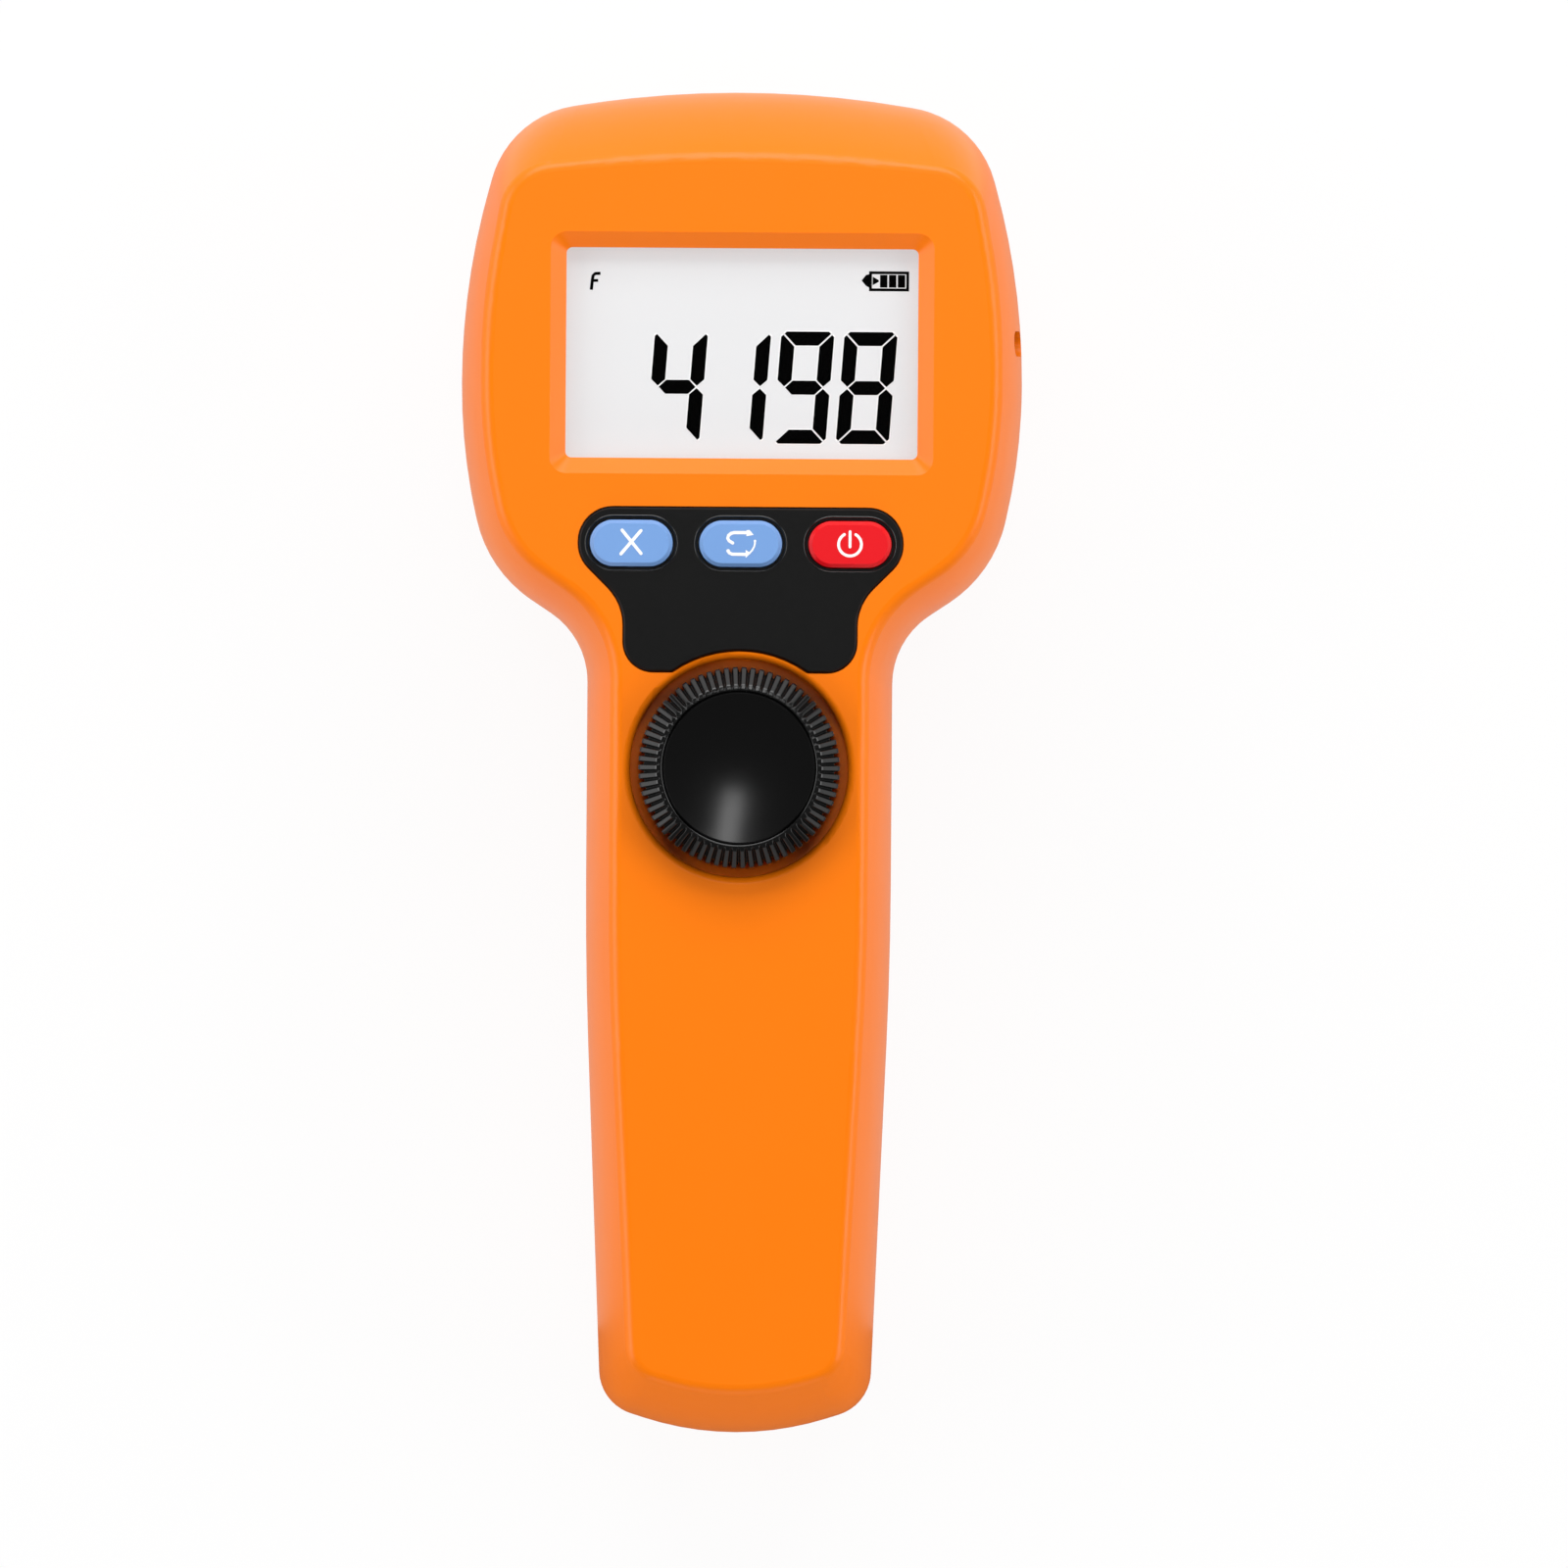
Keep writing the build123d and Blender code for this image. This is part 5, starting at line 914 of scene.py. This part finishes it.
@dataclass
class SpeedKnob:
    """The ribbed knob, its dished cap and the encoder under it, in millimetres.

    The phases are places within one rib's pitch, with the share of the full cut at each. The support is how
    many edges away a row holds the face flat.
    """

    ribs: int = 70
    radius: float = 15.0
    top_radius: float = 12.3
    skirt_height: float = 7.6
    rib_depth: float = 0.8
    rib_top_depth: float = 0.45
    wall: float = 1.6
    roof: float = 2.0
    seat_radius: float = 11.5
    seat_depth: float = 1.6
    hub_radius: float = 5.2
    bore_radius: float = 3.02
    bore_depth: float = 3.6
    shaft_in_hub: float = 3.4
    edge: float = 0.1
    support: float = 4.0
    rim_cut: float = 0.8
    bevel_shares: tuple = (0, 0.06, 0.5, 0.94, 1)
    phases: tuple = (0, 0.14, 0.21, 0.25, 0.29, 0.34, 0.4, 0.46, 0.5, 0.54, 0.6, 0.66, 0.71, 0.75, 0.79, 0.86)
    cut: tuple = (0, 0, 0, 0.03, 0.18, 0.5, 0.8, 0.97, 1, 0.97, 0.8, 0.5, 0.18, 0.03, 0, 0)

    def profile(self, bottom: float, top: float, hub_bottom: float) -> np.ndarray:
        """The knob's section from the middle of the cap's seat, round the outside, to the end of the bore.

        Args:
            bottom: height of the skirt's lower edge.
            top: height of the ring round the cap.
            hub_bottom: height of the hub's lower end.

        Returns:
            Rows of radius, height and how deep the ribs are cut there, in millimetres. Rows lie close
            together on both sides of each edge, which rounds the edge and leaves the faces flat.
        """
        skirt_top = bottom + self.skirt_height
        seat = top - self.seat_depth
        inside = self.radius - self.rib_depth - self.wall
        inside_top = self.top_radius - self.rib_top_depth - self.wall
        edge, deep, shallow = self.edge, self.rib_depth, self.rib_top_depth
        start = np.array([self.top_radius + edge / 2, top - edge / 2, shallow])
        end = np.array([self.radius - edge, skirt_top + edge, deep])
        bevel = [tuple(start + share * (end - start)) for share in self.bevel_shares]
        support = self.support * edge
        return np.array(
            [
                (self.seat_radius - edge, seat, 0),
                (self.seat_radius, seat, 0),
                (self.seat_radius, seat + edge, 0),
                (self.seat_radius, top - edge, 0),
                (self.seat_radius + edge / 2, top, 0),
                (self.seat_radius + 2 * edge, top, 0),
                (self.top_radius - edge, top, shallow * self.rim_cut),
                *bevel,
                (self.radius, skirt_top - edge, deep),
                (self.radius, skirt_top - support, deep),
                (self.radius, bottom + support, deep),
                (self.radius, bottom + edge, deep),
                (self.radius - edge, bottom, deep),
                (inside + 2 * edge, bottom, 0),
                (inside, bottom + edge, 0),
                (inside_top, seat - self.roof - edge, 0),
                (inside_top - edge, seat - self.roof, 0),
                (self.hub_radius + edge, seat - self.roof, 0),
                (self.hub_radius, seat - self.roof - edge, 0),
                (self.hub_radius, hub_bottom + edge, 0),
                (self.hub_radius - edge, hub_bottom, 0),
                (self.bore_radius + edge, hub_bottom, 0),
                (self.bore_radius, hub_bottom + edge, 0),
                (self.bore_radius, hub_bottom + self.bore_depth, 0),
            ]
        )

    def knob(self) -> Object:
        """The knob with flat-topped ribs: its section is carried round the axis.

        The radius at each angle is the section's radius less the cut there, and the cut runs from none on a
        rib's top to full depth in the groove. One point on the axis closes each end.

        Returns:
            The piece that stands for the node.
        """
        low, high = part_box("knob")
        hub_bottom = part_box("encoder_shaft")[1].z / MM - self.shaft_in_hub
        rows = self.profile(low.z / MM, high.z / MM, hub_bottom)
        turns = (np.arange(self.ribs)[:, None] + np.array(self.phases)).ravel() * 2 * pi / self.ribs
        cut = np.tile(np.array(self.cut), self.ribs)
        radii = rows[:, :1] - rows[:, 2:] * cut
        centre = np.array([(low.x + high.x) / 2, (low.y + high.y) / 2]) / MM
        grid = np.stack(
            [
                centre[0] + radii * np.cos(turns),
                centre[1] + radii * np.sin(turns),
                np.broadcast_to(rows[:, 1:2], radii.shape),
            ],
            axis=-1,
        )
        count, columns = radii.shape
        ends = np.array([(*centre, rows[0, 1]), (*centre, rows[-1, 1])])
        points = np.concatenate([grid.reshape(-1, 3), ends]) * MM
        number = np.arange(count * columns).reshape(count, columns)
        beside = np.roll(number, -1, axis=1)
        sides = np.stack([number[1:], beside[1:], beside[:-1], number[:-1]], axis=-1).reshape(-1, 4)
        first = np.stack([np.full(columns, count * columns), number[0], beside[0]], axis=-1)
        last = np.stack([np.full(columns, count * columns + 1), beside[-1], number[-1]], axis=-1)
        faces = [*sides.tolist(), *first.tolist(), *last.tolist()]
        piece = add_piece(
            "ribbed_knob", points, faces, KNOB_ABS.material(), "knob_set", smooth=True
        )
        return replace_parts(piece, "knob")

    def build(self) -> None:
        """Makes the knob and dresses its cap and encoder."""
        self.knob()
        dress(CAP_ABS, "knob_cap")
        dress(BLACK_ABS, "encoder_body")
        dress(NICKEL, "encoder_bushing", "encoder_washer", "encoder_nut", "encoder_shaft")
        LOG.info("Speed knob: knob with %d ribs made, cap and encoder dressed", self.ribs)


@dataclass
class Lamp:
    """The lamp in the back: lens, seal, reflector cups, light sources and their heat sink."""

    lens_gap: float = 0.15 * MM
    lens_corner: float = 7.5 * MM

    def lens(self) -> Object:
        """Clear lens: the node's own slab, a little thinner, so that it shares no face with the reflector.

        Returns:
            The piece that stands for the node.
        """
        low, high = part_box("lamp_lens")
        centre = ((low.x + high.x) / 2, (low.y + high.y) / 2)
        size = (high.x - low.x, high.y - low.y)
        outline = rounded_rectangle(centre, size, self.lens_corner)[None]
        points, faces = prisms(outline, low.z, high.z - self.lens_gap)
        piece = add_piece("clear_lens", points, faces, ACRYLIC.material(), "case")
        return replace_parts(piece, "lamp_lens")

    def build(self) -> None:
        """Places the lens and dresses what lies behind it."""
        self.lens()
        dress(SILICONE, "lens_gasket")
        dress(MIRROR, "reflector")
        dress(WHITE_BOARD, "led_board")
        low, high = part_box("led_emitters")
        middle = ((low.x + high.x) / 2, (low.y + high.y) / 2)
        dress(LightSource("led_phosphor", "#ECEBE6", "#F0D848", middle), "led_emitters")
        dress(ALUMINIUM, "heat_sink")
        LOG.info("Lamp: lens placed, reflector and heat sink dressed")


@dataclass
class Inside:
    """What the case holds: board, battery, leads and socket board."""

    def build(self) -> None:
        """Dresses the pieces inside the case."""
        dress(GREEN_BOARD, "main_board", "charge_board")
        dress(CHIP_EPOXY, "microcontroller", "board_chips")
        dress(CELL_SLEEVE, "battery_cell")
        dress(BLACK_ABS, "battery_holder")
        dress(NICKEL, "battery_contact", "battery_spring")
        leads = sorted(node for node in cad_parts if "lead" in node)
        for node in leads:
            dress(RED_SLEEVE if node.endswith("plus") else BLACK_SLEEVE, node)
        LOG.info("Inside: boards, battery and %d leads dressed", len(leads))


class Role(Enum):
    """What a lamp does to the surfaces that it reaches."""

    BOTH = "light and shine"
    LIGHT = "light only"
    SHINE = "shine only"


@dataclass
class Studio:
    """Pale floor, soft light and a camera that looks straight down on the display."""

    centre: tuple[float, float] = (6.7 * MM, -3.15 * MM)
    frame_width: float = 234.1 * MM
    focus_height: float = PARTING_HEIGHT
    distance: float = 6.0
    roll: float = 0.4
    floor_side: float = 6.0
    card_height: float = 0.5 * MM
    floor_glow: float = 0.92
    sky_glow: float = 0.11

    def floor(self) -> None:
        """A large pale sheet that the object lies on."""
        half = self.floor_side / 2
        corners = np.array([(-half, -half, 0), (half, -half, 0), (half, half, 0), (-half, half, 0)])
        mesh = bpy.data.meshes.new("studio_floor")
        mesh.from_pydata(corners.tolist(), [], [(0, 1, 2, 3)])
        material, tree, _ = new_material("pale_paper")
        # Most of its brightness is its own, as on a light table, so that shadows stay faint
        inputs = {
            "Base Color": linear("#404040"),
            "Roughness": 0.9,
            "Emission Color": linear("#FFFFFF"),
            "Emission Strength": self.floor_glow,
        }
        shader = add_node(tree, "BsdfPrincipled", inputs)
        add_node(tree, "OutputMaterial", {"Surface": shader.outputs["BSDF"]})
        mesh.materials.append(material)
        sheet = bpy.data.objects.new("studio_floor", mesh)
        # The walls mirror the cards that lie on the sheet, and not all of the sheet
        sheet.visible_glossy = False
        bpy.context.scene.collection.objects.link(sheet)

    def softbox(
        self,
        name: str,
        place: tuple,
        size: tuple[float, float],
        power: float,
        role: Role = Role.BOTH,
        aim: tuple[float, float, float] | None = None,
    ) -> None:
        """One large soft light.

        Args:
            name: its name.
            place: its place in metres.
            size: its width and height in metres.
            power: its power in watts.
            role: whether it lights surfaces, shows as their shine, or both.
            aim: the direction that it shines in, or none to face the object.
        """
        light = bpy.data.lights.new(name, "AREA")
        light.shape = "RECTANGLE"
        light.size, light.size_y = size
        light.energy = power
        box = bpy.data.objects.new(name, light)
        box.location = place
        box.rotation_euler = (Vector(aim) if aim else -Vector(place)).to_track_quat("-Z", "Y").to_euler()
        box.visible_camera = False
        box.visible_glossy = role is not Role.LIGHT
        box.visible_diffuse = role is not Role.SHINE
        bpy.context.scene.collection.objects.link(box)

    def card(self, name: str, low: tuple[float, float], high: tuple[float, float], brightness: float) -> None:
        """A pale card, facing up just above the floor, that the walls of the case mirror.

        Args:
            name: its name.
            low: its corner with the lowest x and y.
            high: its corner with the highest.
            brightness: how bright it is, with 1 for white paper. Its power is pi times that and its area.
        """
        size = (high[0] - low[0], high[1] - low[1])
        place = ((low[0] + high[0]) / 2, (low[1] + high[1]) / 2, self.card_height)
        self.softbox(name, place, size, brightness * pi * size[0] * size[1], Role.SHINE, (0.0, 0.0, 1.0))

    def sky(self, brightness: float) -> None:
        """Even white light from all round.

        Args:
            brightness: its strength.
        """
        world = bpy.data.worlds.new("studio_sky")
        world.use_nodes = True
        world.node_tree.nodes.clear()
        glow = add_node(world.node_tree, "Background", {"Color": linear("#FFFFFF"), "Strength": brightness})
        add_node(world.node_tree, "OutputWorld", {"Surface": glow.outputs["Background"]})
        bpy.context.scene.world = world

    def camera(self) -> None:
        """Looks straight down; its lens is long enough for the frame's width at the case's widest height."""
        data = bpy.data.cameras.new("camera")
        data.lens = data.sensor_width * self.distance / self.frame_width
        camera = bpy.data.objects.new("camera", data)
        camera.location = (*self.centre, self.focus_height + self.distance)
        camera.rotation_euler = Euler((0, 0, radians(self.roll)))
        bpy.context.scene.collection.objects.link(camera)
        bpy.context.scene.camera = camera

    def build(self) -> None:
        """Sets floor, light, camera and how light turns into colour."""
        self.floor()
        self.sky(self.sky_glow)
        self.softbox("top_light", place=(0.0, 0.95, 0.7), size=(1.2, 0.6), power=12.0)
        self.softbox("left_light", place=(-0.95, 0.1, 0.6), size=(1.0, 0.5), power=6.5)
        self.softbox("right_light", place=(0.95, 0.1, 0.6), size=(1.0, 0.5), power=6.5)
        self.softbox("low_light", place=(0.0, -1.0, 0.32), size=(1.0, 0.4), power=4.4, role=Role.LIGHT)
        # Low strips all round, for the shine on the bevelled ribs and the walls
        self.softbox("left_rim", place=(-0.95, 0.0, 0.2), size=(1.6, 0.3), power=2.2, role=Role.SHINE)
        self.softbox("top_rim", place=(0.0, 0.95, 0.2), size=(1.6, 0.3), power=1.7, role=Role.SHINE)
        self.softbox("right_rim", place=(0.95, 0.0, 0.2), size=(1.6, 0.3), power=1.4, role=Role.SHINE)
        self.softbox("low_rim", place=(0.0, -0.95, 0.2), size=(1.2, 0.3), power=0.6, role=Role.SHINE)
        # A small lamp overhead, for the glow on the dished cap
        self.softbox("cap_light", place=(0.05, 0.3, 1.35), size=(0.1, 0.36), power=0.74)
        self.card("left_card", low=(-0.35, -0.085), high=(-0.02, 0.1), brightness=0.45)
        self.card("right_card", low=(0.02, -0.085), high=(0.35, 0.1), brightness=0.42)
        self.card("top_card", low=(-0.35, 0.1), high=(0.35, 0.4), brightness=0.75)
        self.camera()
        bpy.context.scene.view_settings.view_transform = "Standard"
        LOG.info("Studio: floor, sky, lights and camera set")


def main() -> None:
    """Builds every sub-assembly in order."""
    logging.basicConfig(level=logging.INFO, format="%(name)s: %(message)s")
    for assembly in (Case(), Display(), Keys(), SpeedKnob(), Lamp(), Inside(), Studio()):
        assembly.build()
    bpy.context.view_layer.update()


if __name__ == "__main__":
    main()
